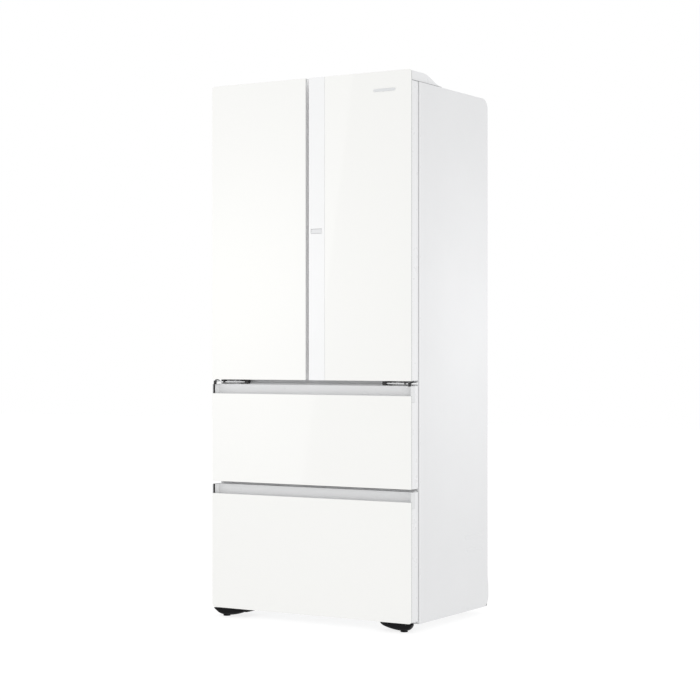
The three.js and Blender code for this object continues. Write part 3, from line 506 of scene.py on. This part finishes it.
def rear_lip(node, radii, name):
    """Rounded lip round the back of an insulated body, which narrows the gap to the cabinet."""
    low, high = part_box(node)
    width, below_top = 6 * MM, 2 * MM
    outer = front_outline(low, high, -0.3 * MM)
    inner = front_outline(low, high, -width)
    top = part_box("top_panel")[1].z
    if outer[3] > top:
        outer = (*outer[:3], top - below_top)
        inner = (*inner[:3], top - below_top - width)
    inner_radii = [max(r - 2 * MM, 0.3 * MM) for r in radii]
    bm = bmesh.new()
    ring(
        bm,
        Y_AXIS,
        rounded(*outer, radii, 8),
        rounded(*inner, inner_radii, 8),
        high.y - 0.4 * MM,
        high.y + 3.2 * MM,
    )
    piece(name, bm, body_named(node), "white_trim", (), 1.2 * MM, 3, 50)


def closing_edge(name):
    """Pale trim down the edge of a door that faces the other door. Its white is paler than the door
    body's: painted light in the shaded gap between the doors.
    """
    low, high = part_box(f"{name}_door_body")
    _, at = outer_and_inner(low, high, SIDES[name])
    half, end_gap = 0.5 * MM, 4 * MM
    bm = bmesh.new()
    block(
        bm,
        (at - half, at + half),
        (low.y + 1 * MM, high.y - 2 * MM),
        (low.z + end_gap, high.z - end_gap),
    )
    piece(f"{name}_door_closing_edge", bm, f"{name}_door", "gap_edge_lightened", (), 0.3 * MM)


def bellows_seal(node):
    """Magnetic seal: a base, bellows folds, the strip that meets the frame, and an outer lip."""
    low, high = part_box(node)
    depth = high.y - low.y
    width, lip_reach = 11 * MM, 7 * MM
    bm = bmesh.new()
    # Each fold as its inset from the ring's own outline, and the shares of the depth it spans.
    folds = [(0.0, 0.0, 0.16), (2.4, 0.16, 0.32), (0.6, 0.32, 0.5), (2.4, 0.5, 0.66), (0.2, 0.66, 1.0)]
    for inset, start, end in folds:
        by = inset * MM
        outer = rounded(*front_outline(low, high, -by), 4 * MM, 6)
        inner = rounded(*front_outline(low, high, by - width), 2 * MM, 6)
        ring(bm, Y_AXIS, outer, inner, low.y + start * depth, low.y + end * depth)
    lip = rounded(*front_outline(low, high, lip_reach), 5 * MM, 6)
    root = rounded(*front_outline(low, high, -0.4 * MM), 4 * MM, 6)
    ring(bm, Y_AXIS, lip, root, low.y + 0.1 * MM, low.y + 0.55 * depth)
    # Partly painted light: the seal is paler than its rubber, to lift the shade in the gap to the
    # cabinet.
    piece(f"{node}_bellows", bm, body_named(node), "gasket_grey", [node], 0.25 * MM, 2, 50)


def bin_trim(node):
    """Satin rail along the lip of an open bin or basket: a door bin's is behind, a basket's in front."""
    low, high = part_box(node)
    middle = high.y if "door" in node else low.y
    half, end_gap = 1.6 * MM, 6 * MM
    bm = bmesh.new()
    block(
        bm,
        (low.x + end_gap, high.x - end_gap),
        (middle - half, middle + half),
        (high.z - 13 * MM, high.z + 1.2 * MM),
    )
    piece(f"{node}_rail", bm, body_named(node), "strip_white", (), 1.2 * MM, 3)


def make_door(name):
    """One door: glass, insulated body with its trims, inner moulding, seal and two bins."""
    side = SIDES[name]
    glass_radii = corner_radii(side, OUTER_RADIUS)
    glass_panel(f"{name}_door_glass", glass_radii)
    refined(f"{name}_door_body", "white_trim", 0.6)
    edge_band(f"{name}_door_body", glass_radii, f"{name}_door_edge_band")
    rear_lip(f"{name}_door_body", corner_radii(side, 6 * MM), f"{name}_door_rear_lip")
    closing_edge(name)
    refined(f"{name}_door_liner", "liner_white", 2.2, 3)
    bellows_seal(f"{name}_door_gasket")
    for level in ("upper", "lower"):
        node = f"{name}_door_bin_{level}"
        refined(node, "clear_plastic", 0.8)
        bin_trim(node)


def make_right_door_details():
    """Handle strip with its key, and the badge plate, which is left blank."""
    refined("right_door_strip", "strip_white", 0.6, 3)
    refined("right_door_button", "key_grey", 0.9, 3)
    glass_low, glass_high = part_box("right_door_glass")
    half_width, half_height, thickness = 41 * MM, 4.6 * MM, 0.9 * MM
    x = glass_high.x - 99 * MM
    z = glass_high.z - 60.5 * MM
    outline = rounded(x - half_width, x + half_width, z - half_height, z + half_height, 4.2 * MM)
    bm = bmesh.new()
    prism(bm, Y_AXIS, outline, glass_low.y - thickness, glass_low.y)
    piece("right_door_badge_blank", bm, "right_door", "badge_metal", (), 0.4 * MM, 3)


GRIP_WALL = 1.5 * MM


def grip_channel(node, body, front, glass_top):
    """Bent channel: a front wall behind the glass, a floor, and a back wall that curves up from it."""
    low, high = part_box(node)
    bend, end_gap = 8 * MM, 0.2 * MM
    lip_top = glass_top - 1 * MM
    inner_floor, inner_back = low.z + GRIP_WALL, high.y - GRIP_WALL
    profile = [
        (front, lip_top),
        (front, low.z),
        (high.y, low.z),
        (high.y, high.z),
        (inner_back, high.z),
    ]
    profile += arc((inner_back - bend, inner_floor + bend), bend, 0, -90, 12)
    profile += [(front + GRIP_WALL, inner_floor), (front + GRIP_WALL, lip_top)]
    bm = bmesh.new()
    prism(bm, X_AXIS, profile, low.x + end_gap, high.x - end_gap)
    # Painted light: the channel's grey is lighter than the cheeks' to make up for the shade in the
    # recess.
    piece(f"{node}_channel", bm, body, "grip_grey_lightened", [node], 0.35 * MM, 3, 40)


def over_glass(front, lip, back, bottom, step, top):
    """An end-on outline that starts at the front below the step and at the lip above it."""
    return [(front, bottom), (back, bottom), (back, top), (lip, top), (lip, step), (front, step)]


def grip_end(node, body, front, glass_top, name):
    """One end of a grip: a pale cheek, a black insert on it, and a pale wedge behind the insert. The
    black insert is partly painted shade, for the deep shade at the grip's closed end. The wedge's paler
    white is painted light on the shaded inner face.
    """
    low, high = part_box(node)
    side = SIDES[name]
    end, _ = outer_and_inner(low, high, side)
    cheek, insert = 3 * MM, 0.9 * MM
    inner = end - side * (cheek + 0.1 * MM)
    lip = FRONT + 0.6 * MM
    top = high.z - 1.2 * MM
    cap = bmesh.new()
    outline = over_glass(front, lip, high.y, low.z, glass_top + 0.3 * MM, high.z)
    prism(cap, X_AXIS, outline, *sorted((end, end - side * cheek)))
    piece(f"{node}_cheek_{name}", cap, body, "grip_grey", (), 0.6 * MM, 3, 40)
    # Partly painted shade: a black insert where the grip's closed end lies in deep shade.
    dark = bmesh.new()
    insert_front, insert_lip, insert_back = front + 0.4 * MM, lip + 2 * MM, FRONT + 10.5 * MM
    bottom, step = low.z + 3 * MM, glass_top + 1 * MM
    outline = over_glass(insert_front, insert_lip, insert_back, bottom, step, top)
    prism(dark, X_AXIS, outline, *sorted((inner, inner - side * insert)))
    piece(f"{node}_insert_{name}", dark, body, "foot_black", (), 0.2 * MM, 2, 40)
    # Painted light: the wedge takes a paler white than the cheek, to lift the shaded inner face of the
    # end.
    wedge = bmesh.new()
    wedge_front, wedge_back = insert_back + 0.2 * MM, high.y - GRIP_WALL - 0.3 * MM
    corner = [(inner, wedge_front), (inner - side * 12 * MM, wedge_back), (inner, wedge_back)]
    prism(wedge, Z_AXIS, corner, low.z + 4 * MM, top)
    piece(f"{node}_end_{name}", wedge, body, "strip_white", (), 0.3 * MM, 2, 40)


def make_grip(name):
    """Recessed grip along the top of a drawer: a channel that is closed at both ends."""
    node, body = f"{name}_drawer_grip", f"{name}_drawer"
    _, glass_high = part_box(f"{name}_drawer_glass")
    front = glass_high.y + 0.6 * MM
    grip_channel(node, body, front, glass_high.z)
    for end in SIDES:
        grip_end(node, body, front, glass_high.z, end)


def make_drawer(name, low_radius):
    """One drawer: glass, insulated body, seal, grip, runner frame and basket."""
    radii = (low_radius, low_radius, SQUARE_CORNER, SQUARE_CORNER)
    glass_panel(f"{name}_drawer_glass", radii)
    refined(f"{name}_drawer_body", "white_trim", 0.6)
    rear_lip(f"{name}_drawer_body", [3 * MM] * 4, f"{name}_drawer_rear_lip")
    bellows_seal(f"{name}_drawer_gasket")
    make_grip(name)
    refined(f"{name}_drawer_frame", "zinc_steel", 0.5)
    refined(f"{name}_drawer_basket", "clear_plastic", 0.9)
    bin_trim(f"{name}_drawer_basket")


# ---------------------------------------------------------------- cabinet
# Each rib of a side panel: its start and end behind the front edge, and its height, in mm.
SIDE_RIBS = ((319, 458, 248), (333, 452, 205))
# A rib's steps from its foot to its crest: half its width, and how proud it stands, in mm.
RIB_STEPS = ((6.0, -0.3), (5.2, 0.4), (3.6, 0.9), (1.6, 1.1))


def side_rib(bm, low, outer, side, rib):
    """One shallow embossed rib on the outer face of a side panel."""
    start, end, z = rib
    sections = []
    for half, proud in RIB_STEPS:
        spare = RIB_STEPS[0][0] - half
        outline = rounded(
            low.y + (start + spare) * MM,
            low.y + (end - spare) * MM,
            low.z + (z - half) * MM,
            low.z + (z + half) * MM,
            0.98 * half * MM,
        )
        sections.append([point_on(X_AXIS, a, b, outer + side * proud * MM) for a, b in outline])
    loft(bm, sections)


def front_fold(node, low, high, outer, side):
    """Folded front edge of a side panel: a round bend and the flange that turns in from it."""
    radius, reach, end_gap = 2.5 * MM, 10 * MM, 1 * MM
    tail = 1.6 * radius
    flange = [(radius, tail), *arc((0, 0), radius, 0, -90, 6)]
    flange += [(-reach, -radius), (-reach, -radius + 0.7 * MM), (radius - 0.9 * MM, tail)]
    centre_x = outer - side * (radius - 0.1 * MM)
    centre_y = low.y - 0.8 * MM + radius
    outline = [(centre_x + side * x, centre_y + y) for x, y in flange]
    bm = bmesh.new()
    prism(bm, Z_AXIS, outline, low.z + end_gap, high.z - end_gap)
    piece(f"{node}_front_fold", bm, "cabinet", "white_paint")


def front_bead(node, low, high, outer, side):
    """Low bead down the outer face of a side panel, just behind its front fold. Its white is lighter
    than the panel's paint: a painted highlight along the fold.
    """
    # Across the bead: how proud it stands, and its place behind the front edge, in mm.
    crown = [(-0.3, 3.0), (0.2, 3.4), (0.5, 5.6), (0.2, 9.0), (-0.3, 9.6)]
    end_gap = 3 * MM
    outline = [(outer + side * proud * MM, low.y + behind * MM) for proud, behind in crown]
    bm = bmesh.new()
    prism(bm, Z_AXIS, outline, low.z + end_gap, high.z - end_gap)
    # Painted highlight: the bead takes the lighter white moulding finish rather than the panel's own
    # paint.
    piece(f"{node}_front_bead", bm, "cabinet", "white_trim")


def side_panel(name):
    """Folded steel side with rounded rear corners, which reaches further back low down."""
    node = f"side_panel_{name}"
    side = SIDES[name]
    low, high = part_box(node)
    outer, _ = outer_and_inner(low, high, side)
    radius, tail = 35 * MM, 6 * MM
    tail_top, slope_top = low.z + 76 * MM, low.z + 106 * MM
    straight = high.y - tail
    outline = [(low.y, low.z)]
    outline += arc((high.y - radius, low.z + radius), radius, -90, 0, 12)
    outline += [(high.y, tail_top), (straight, slope_top)]
    outline += arc((straight - radius, high.z - radius), radius, 0, 90, 12)
    outline += [(low.y, high.z)]
    bm = bmesh.new()
    prism(bm, X_AXIS, outline, low.x, high.x)
    soften(bm, 0.9 * MM, 3, 50)
    for rib in SIDE_RIBS:
        side_rib(bm, low, outer, side, rib)
    piece(f"{node}_folded", bm, "cabinet", "white_paint", [node])
    front_fold(node, low, high, outer, side)
    front_bead(node, low, high, outer, side)


def cover_section(outer, inner, side, base, height):
    """A hinge cover's cross-section: upright walls with a small and a large round shoulder."""
    top = base + height
    small, large = min(2.6 * MM, height * 0.45), min(7 * MM, height * 0.45)
    outward, inward = (0, 180) if side > 0 else (180, 0)
    section = [(outer, base)]
    section += arc((outer - side * small, top - small), small, outward, 90, 5)
    section += arc((inner + side * large, top - large), large, 90, inward, 6)
    section += [(inner, base)]
    return section


def hinge_cover(name):
    """Moulded cover on a dark seat, whose dark band is painted shade under the cover's rim: level in
    front, one S-curve down behind.
    """
    node = f"hinge_cover_{name}"
    low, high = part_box(node)
    side = SIDES[name]
    outer, inner = outer_and_inner(low, high, side)
    crest = low.y + 84 * MM
    base = low.z + 2.4 * MM
    thinnest = 0.8 * MM
    rise = high.z + 4.4 * MM - base - thinnest
    steps, nose_steps = 40, 3
    tuck, tuck_from = 5 * MM, 0.75
    sections = []
    for i in range(steps + 1):
        y = low.y + (high.y - low.y) * i / steps
        fall = max(0.0, (y - crest) / (high.y - crest))
        nose = min(1.0, (i + 0.35) / nose_steps)
        height = rise * (1 + math.cos(math.pi * fall)) / 2 + thinnest
        height *= 0.82 + 0.18 * math.sqrt(1 - (1 - nose) ** 2)
        tucked = tuck * max(0.0, fall - tuck_from) / (1 - tuck_from)
        section = cover_section(outer - side * 0.2 * MM, inner + side * tucked, side, base, height)
        sections.append([(x, y, z) for x, z in section])
    bm = bmesh.new()
    loft(bm, sections)
    soften(bm, 1.0 * MM, 3, 60)
    piece(f"{node}_shell", bm, "cabinet", "white_trim", [node])
    inset = 0.6 * MM
    # The seat is a dark band standing for the shadow line under the cover: painted shade.
    seat = bmesh.new()
    block(
        seat,
        (outer - side * inset, inner + side * inset),
        (low.y + 0.8 * MM, high.y - 30 * MM),
        (low.z - 0.4 * MM, base + 0.2 * MM),
    )
    piece(f"{node}_seat", seat, "cabinet", "painted_shade_grey", (), 0.3 * MM)


def hex_bolt(bm, centre, radius, low, high):
    """An upright hexagon head, turned a little from the axes."""
    prism(bm, Z_AXIS, arc(centre, radius, 15, 315, 5), low, high)


# The pins of the middle hinges, on both sides of the object's middle.
HINGE_PIN_X = 378 * MM
HINGE_PIN_Y = FRONT + 16 * MM


def middle_hinge_bolts(node, low, inner, side, flange, plate_top):
    """Hexagon bolts on washers along the plate, and round heads on the flange behind it."""
    reach, row_y = 122 * MM, flange - 8 * MM
    bm = bmesh.new()
    for share in (0.28, 0.46, 0.7):
        x = inner + side * share * reach
        hex_bolt(bm, (x, row_y), 4.6 * MM, plate_top, plate_top + 3.6 * MM)
        cylinder(bm, Z_AXIS, (x, row_y), 6.4 * MM, plate_top, plate_top + 1 * MM)
        head = (x - side * 14 * MM, low.z + 5.8 * MM)
        cylinder(bm, Y_AXIS, head, 3.4 * MM, flange - 2.4 * MM, flange)
    piece(f"{node}_bolts", bm, "cabinet", "hinge_pale", (), 0.4 * MM)


def middle_hinge(name):
    """Pale bracket in the gap under a door, with its bolts, a dark pin bush and dark blocks. The dark
    blocks are black caps and partly painted shade in the gap.
    """
    node = f"middle_hinge_{name}"
    refined(node, "hinge_pale", 0.4)
    low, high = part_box(node)
    side = SIDES[name]
    outer, inner = outer_and_inner(low, high, side)
    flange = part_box("face_frame")[0].y - 3.2 * MM
    plate_top = low.z + 7.2 * MM
    middle_hinge_bolts(node, low, inner, side, flange, plate_top)
    behind, foot = flange + 0.1 * MM, low.z + 0.4 * MM
    end_block = (
        (inner, inner + side * 15 * MM),
        (flange - 16 * MM, behind),
        (foot, high.z - 16 * MM),
    )
    low_block = (
        (inner + side * 21 * MM, inner + side * 35 * MM),
        (flange - 14 * MM, behind),
        (foot, plate_top + 5.4 * MM),
    )
    front_cap = (
        (side * (HINGE_PIN_X - 4 * MM), side * (HINGE_PIN_X + 6 * MM)),
        (FRONT + 3 * MM, FRONT + 7 * MM),
        (low.z - 3.6 * MM, plate_top + 2.2 * MM),
    )
    arm_block = (
        (outer - side * 34 * MM, outer - side * 20 * MM),
        (FRONT + 20 * MM, FRONT + 34 * MM),
        (low.z + 2.4 * MM, plate_top + 4.4 * MM),
    )
    # Partly painted shade: the end, low, front and arm blocks are black where the gap round the bracket
    # falls dark. The pin bush is black plastic.
    dark = bmesh.new()
    for ends in (end_block, low_block, front_cap, arm_block):
        block(dark, *ends)
    pin = (side * HINGE_PIN_X, HINGE_PIN_Y)
    cylinder(dark, Z_AXIS, pin, 7.2 * MM, plate_top + 0.1 * MM, plate_top + 5.2 * MM, 28)
    piece(f"{node}_bushes", dark, "cabinet", "black_plastic", (), 0.8 * MM)


FOOT_START, FOOT_LENGTH = FRONT + 6 * MM, 44 * MM
FOOT_RIM = 4 * MM
FOOT_DEEPEST = 0.685  # share of the foot's width, from its inner end, where the belly is deepest


def belly_depth(u, v):
    """The belly's depth, from 0 at the rim to 1, at u from the inner end and v from the front."""
    if u < FOOT_DEEPEST:
        off, fullness = (FOOT_DEEPEST - u) / FOOT_DEEPEST, 0.95
    else:
        off, fullness = (u - FOOT_DEEPEST) / (1 - FOOT_DEEPEST), 0.8
    return max(0.0, 1 - min(1.0, off) ** 2) ** fullness * (1 - abs(2 * v - 1) ** 2.6) ** 0.5


def foot_row(bm, low, high, inner, reach, v, across):
    """One row of points along the foot, on its belly and on its flat top."""
    belly, top = [], []
    for i in range(across + 1):
        u = i / across
        x = inner + reach * u
        plan = 0.12 + 0.88 * math.sqrt(1 - abs(2 * u - 1) ** 3)
        y = FOOT_START + FOOT_LENGTH * ((1 - plan) * 0.5 * (1 - u) ** 2 + v * plan)
        rim = FOOT_RIM * min(1.0, 8 * min(u, 1 - u))
        depth = (high.z - FOOT_RIM - low.z) * belly_depth(u, v)
        belly.append(bm.verts.new((x, y, high.z - rim - depth)))
        top.append(bm.verts.new((x, y, high.z)))
    return belly, top


def foot_housing(name):
    """Boat-shaped foot: a black rim over a shallow curved belly, and the tongue that holds it behind."""
    node = f"foot_housing_{name}"
    low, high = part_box(node)
    side = SIDES[name]
    outer, inner = outer_and_inner(low, high, side)
    across, along = 40, 20
    bm = bmesh.new()
    rows = [
        foot_row(bm, low, high, inner, outer - inner, j / along, across) for j in range(along + 1)
    ]
    for (belly, top), (next_belly, next_top) in zip(rows, rows[1:]):
        for i in range(across):
            bm.faces.new((belly[i], belly[i + 1], next_belly[i + 1], next_belly[i]))
            bm.faces.new((top[i], next_top[i], next_top[i + 1], top[i + 1]))
        for i in (0, across):
            bm.faces.new((belly[i], next_belly[i], next_top[i], top[i]))
    for belly, top in (rows[0], rows[-1]):
        for i in range(across):
            bm.faces.new((belly[i], belly[i + 1], top[i + 1], top[i]))
    bmesh.ops.remove_doubles(bm, verts=bm.verts, dist=1e-6)
    piece(f"{node}_boat", bm, "cabinet", "foot_black", [node])
    tongue_inner, tongue_outer = 266 * MM, 334 * MM
    tongue = bmesh.new()
    block(
        tongue,
        (side * tongue_inner, side * tongue_outer),
        (FOOT_START + 24 * MM, high.y),
        (low.z + 13 * MM, low.z + 21 * MM),
    )
    piece(f"{node}_tongue", tongue, "cabinet", "foot_black", (), 1 * MM, 3)


def shelf(level):
    """Toughened pane in a white front trim, with side rails and a rear stop."""
    node = f"shelf_{level}"
    low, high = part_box(node)
    bottom = low.z + 6 * MM
    thickness, front_depth, rail_width = 4.6 * MM, 13 * MM, 7 * MM
    pane = bmesh.new()
    block(
        pane,
        (low.x + 3 * MM, high.x - 3 * MM),
        (low.y + 9 * MM, high.y - 3 * MM),
        (bottom, bottom + thickness),
    )
    piece(f"{node}_pane", pane, "cabinet", "shelf_glass", [node], 0.7 * MM, 3)
    trim = bmesh.new()
    nose = rounded(low.y, low.y + front_depth, low.z, bottom + 10 * MM, 3 * MM, 6)
    prism(trim, X_AXIS, nose, low.x + 2 * rail_width, high.x - 2 * rail_width)
    rear = rounded(high.y - 6 * MM, high.y, bottom - 1 * MM, high.z, 1.5 * MM, 4)
    prism(trim, X_AXIS, rear, low.x, high.x)
    for x in (low.x, high.x - rail_width):
        rail = rounded(x, x + rail_width, bottom - 0.9 * MM, bottom + 6 * MM, 1.5 * MM, 4)
        prism(trim, Y_AXIS, rail, low.y + 12 * MM, high.y - 5 * MM)
    piece(f"{node}_trim", trim, "cabinet", "liner_white", (), 0.4 * MM, 2, 50)


def room_fittings():
    """Air duct cover on the rear wall, its slots, and the lamp lenses of the room."""
    low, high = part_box("room_liner")
    rear = high.y - 2 * MM
    duct_half, slot_half, slot_height = 82 * MM, 50 * MM, 4 * MM
    duct = bmesh.new()
    outline = rounded(-duct_half, duct_half, low.z + 230 * MM, high.z - 60 * MM, 14 * MM)
    prism(duct, Y_AXIS, outline, rear - 6 * MM, rear - 0.2 * MM)
    piece("air_duct_cover", duct, "cabinet", "liner_white", (), 2 * MM, 3)
    slots = bmesh.new()
    # Four groups of three slots, by the height of each group's lowest slot, in mm.
    for group in (1340, 1400, 1560, 1620):
        for k in range(3):
            z = (group + 9 * k) * MM
            slot_outline = rounded(-slot_half, slot_half, z, z + slot_height, 1.9 * MM, 4)
            prism(slots, Y_AXIS, slot_outline, rear - 6.3 * MM, rear - 5.6 * MM)
    piece("air_duct_slots", slots, "cabinet", "black_plastic")
    wall_x, thickness = 338.2 * MM, 1.6 * MM
    lens = bmesh.new()
    strip = rounded(low.y + 60 * MM, low.y + 78 * MM, low.z + 480 * MM, high.z - 60 * MM, 6 * MM)
    for side in SIDES.values():
        prism(lens, X_AXIS, strip, *sorted((side * wall_x, side * (wall_x + thickness))))
    piece("room_lamp_lenses", lens, "cabinet", "lamp", (), 0.5 * MM)


def screw(bm, x, z, face):
    """Pan-head screw on a face that looks to the back: a head and a smaller crown on it."""
    radius, head, crown = 4.2 * MM, 1.1 * MM, 0.7 * MM
    cylinder(bm, Y_AXIS, (x, z), radius, face, face + head)
    cylinder(bm, Y_AXIS, (x, z), radius * 0.72, face + head, face + head + crown)


def back_details():
    """Screws of the back sheet and rear cover, and the pressed stiffening ribs of the sheet."""
    low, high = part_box("back_panel")
    cover_low, cover_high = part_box("rear_cover")
    from_edge, sheet_rows, rib_count = 12 * MM, 6, 5
    first, last = low.z + 40 * MM, high.z - 40 * MM
    screws = bmesh.new()
    for side in SIDES.values():
        for k in range(sheet_rows):
            z = first + (last - first) * k / (sheet_rows - 1)
            screw(screws, side * (high.x - from_edge), z, high.y)
        for z in (cover_low.z + 30 * MM, cover_high.z - 30 * MM):
            screw(screws, side * (cover_high.x - from_edge), z, high.y)
    for x in (-300, -150, 0, 150, 300):
        screw(screws, x * MM, cover_high.z - 7 * MM, high.y)
    piece("back_screws", screws, "cabinet", "badge_metal", (), 0.3 * MM)
    ribs = bmesh.new()
    for k in range(rib_count):
        z = low.z + (high.z - low.z) * (k + 1) / (rib_count + 1)
        rib = rounded(low.x + 60 * MM, high.x - 60 * MM, z - 9 * MM, z + 9 * MM, 8.8 * MM)
        prism(ribs, Y_AXIS, rib, high.y - 0.5 * MM, high.y + 1.6 * MM)
    piece("back_panel_ribs", ribs, "cabinet", "zinc_steel", (), 1.2 * MM, 3)


def tube(name, points, radius):
    """A copper refrigerant tube: a smooth round curve through the points, with filled ends."""
    curve = bpy.data.curves.new(name, "CURVE")
    curve.dimensions = "3D"
    curve.bevel_depth = radius
    curve.bevel_resolution = 4
    curve.use_fill_caps = True
    spline = curve.splines.new("BEZIER")
    spline.bezier_points.add(len(points) - 1)
    for knot, place in zip(spline.bezier_points, points):
        knot.co = place
        knot.handle_left_type = knot.handle_right_type = "AUTO"
    curve.materials.append(FINISHES["copper"])
    made = bpy.data.objects.new(name, curve)
    bpy.context.scene.collection.objects.link(made)
    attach(made, "cabinet")


def machine_tubes():
    """Copper tubes from the compressor to the condenser and to the bulkhead."""
    comp_low, comp_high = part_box("compressor")
    cond_low, cond_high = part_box("condenser")
    middle = (comp_low + comp_high) / 2
    top = comp_high.z
    tube(
        "discharge_tube",
        [
            (middle.x + 40 * MM, middle.y - 30 * MM, top - 24 * MM),
            (middle.x + 60 * MM, middle.y - 40 * MM, top + 14 * MM),
            (middle.x + 200 * MM, middle.y - 62 * MM, top + 24 * MM),
            (cond_low.x - 20 * MM, cond_low.y - 14 * MM, cond_high.z - 30 * MM),
            (cond_low.x + 12 * MM, cond_low.y - 10 * MM, cond_high.z - 44 * MM),
        ],
        3 * MM,
    )
    tube(
        "suction_tube",
        [
            (middle.x - 44 * MM, middle.y, top - 30 * MM),
            (middle.x - 74 * MM, middle.y - 10 * MM, top + 6 * MM),
            (middle.x - 96 * MM, middle.y - 40 * MM, top + 34 * MM),
            (middle.x - 100 * MM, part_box("machine_bulkhead")[0].y + 6 * MM, top + 44 * MM),
        ],
        4 * MM,
    )


# CAD nodes shown in their own shape, by finish, with the width of their rounded edges in mm.
REFINED = {
    "white_paint": {"top_panel": 0.5, "face_frame": 0.3},
    "white_trim": {"centre_post": 2.0},
    "liner_white": {"room_liner": 1.2, "drawer_liner": 1.0},
    "clear_plastic": {"crisper_left": 0.9, "crisper_right": 0.9},
    "zinc_steel": {
        "back_panel": 0.5,
        "machine_bulkhead": 0.5,
        "base_frame": 0.5,
        "top_hinge_left": 0.5,
        "top_hinge_right": 0.5,
        "rear_cover": 0.6,
    },
    "foam": {"foam_insulation": 0.5},
    "machine_black": {"compressor": 0.8},
    "coil_black": {"condenser": 0.2},
    "foot_black": {"levelling_foot_left": 0.6, "levelling_foot_right": 0.6},
    "black_plastic": {
        "fan_shroud": 0.6,
        "fan_rotor": 0.5,
        "mains_inlet": 0.6,
        "rear_roller_left": 1.2,
        "rear_roller_right": 1.2,
    },
}


def make_cabinet():
    """Everything that stays with the cabinet, and its rollers, feet and fan."""
    for name in SIDES:
        side_panel(name)
        hinge_cover(name)
        middle_hinge(name)
        foot_housing(name)
    for finish, nodes in REFINED.items():
        for node, width in nodes.items():
            refined(node, finish, width)
    for level in ("upper", "middle", "lower"):
        shelf(level)
    room_fittings()
    back_details()
    machine_tubes()


# ---------------------------------------------------------------- the whole scene
make_camera()
make_lights()
make_floor()
make_cabinet()
for door_name in SIDES:
    make_door(door_name)
make_right_door_details()
make_drawer("upper", 1.5 * MM)
make_drawer("lower", OUTER_RADIUS)
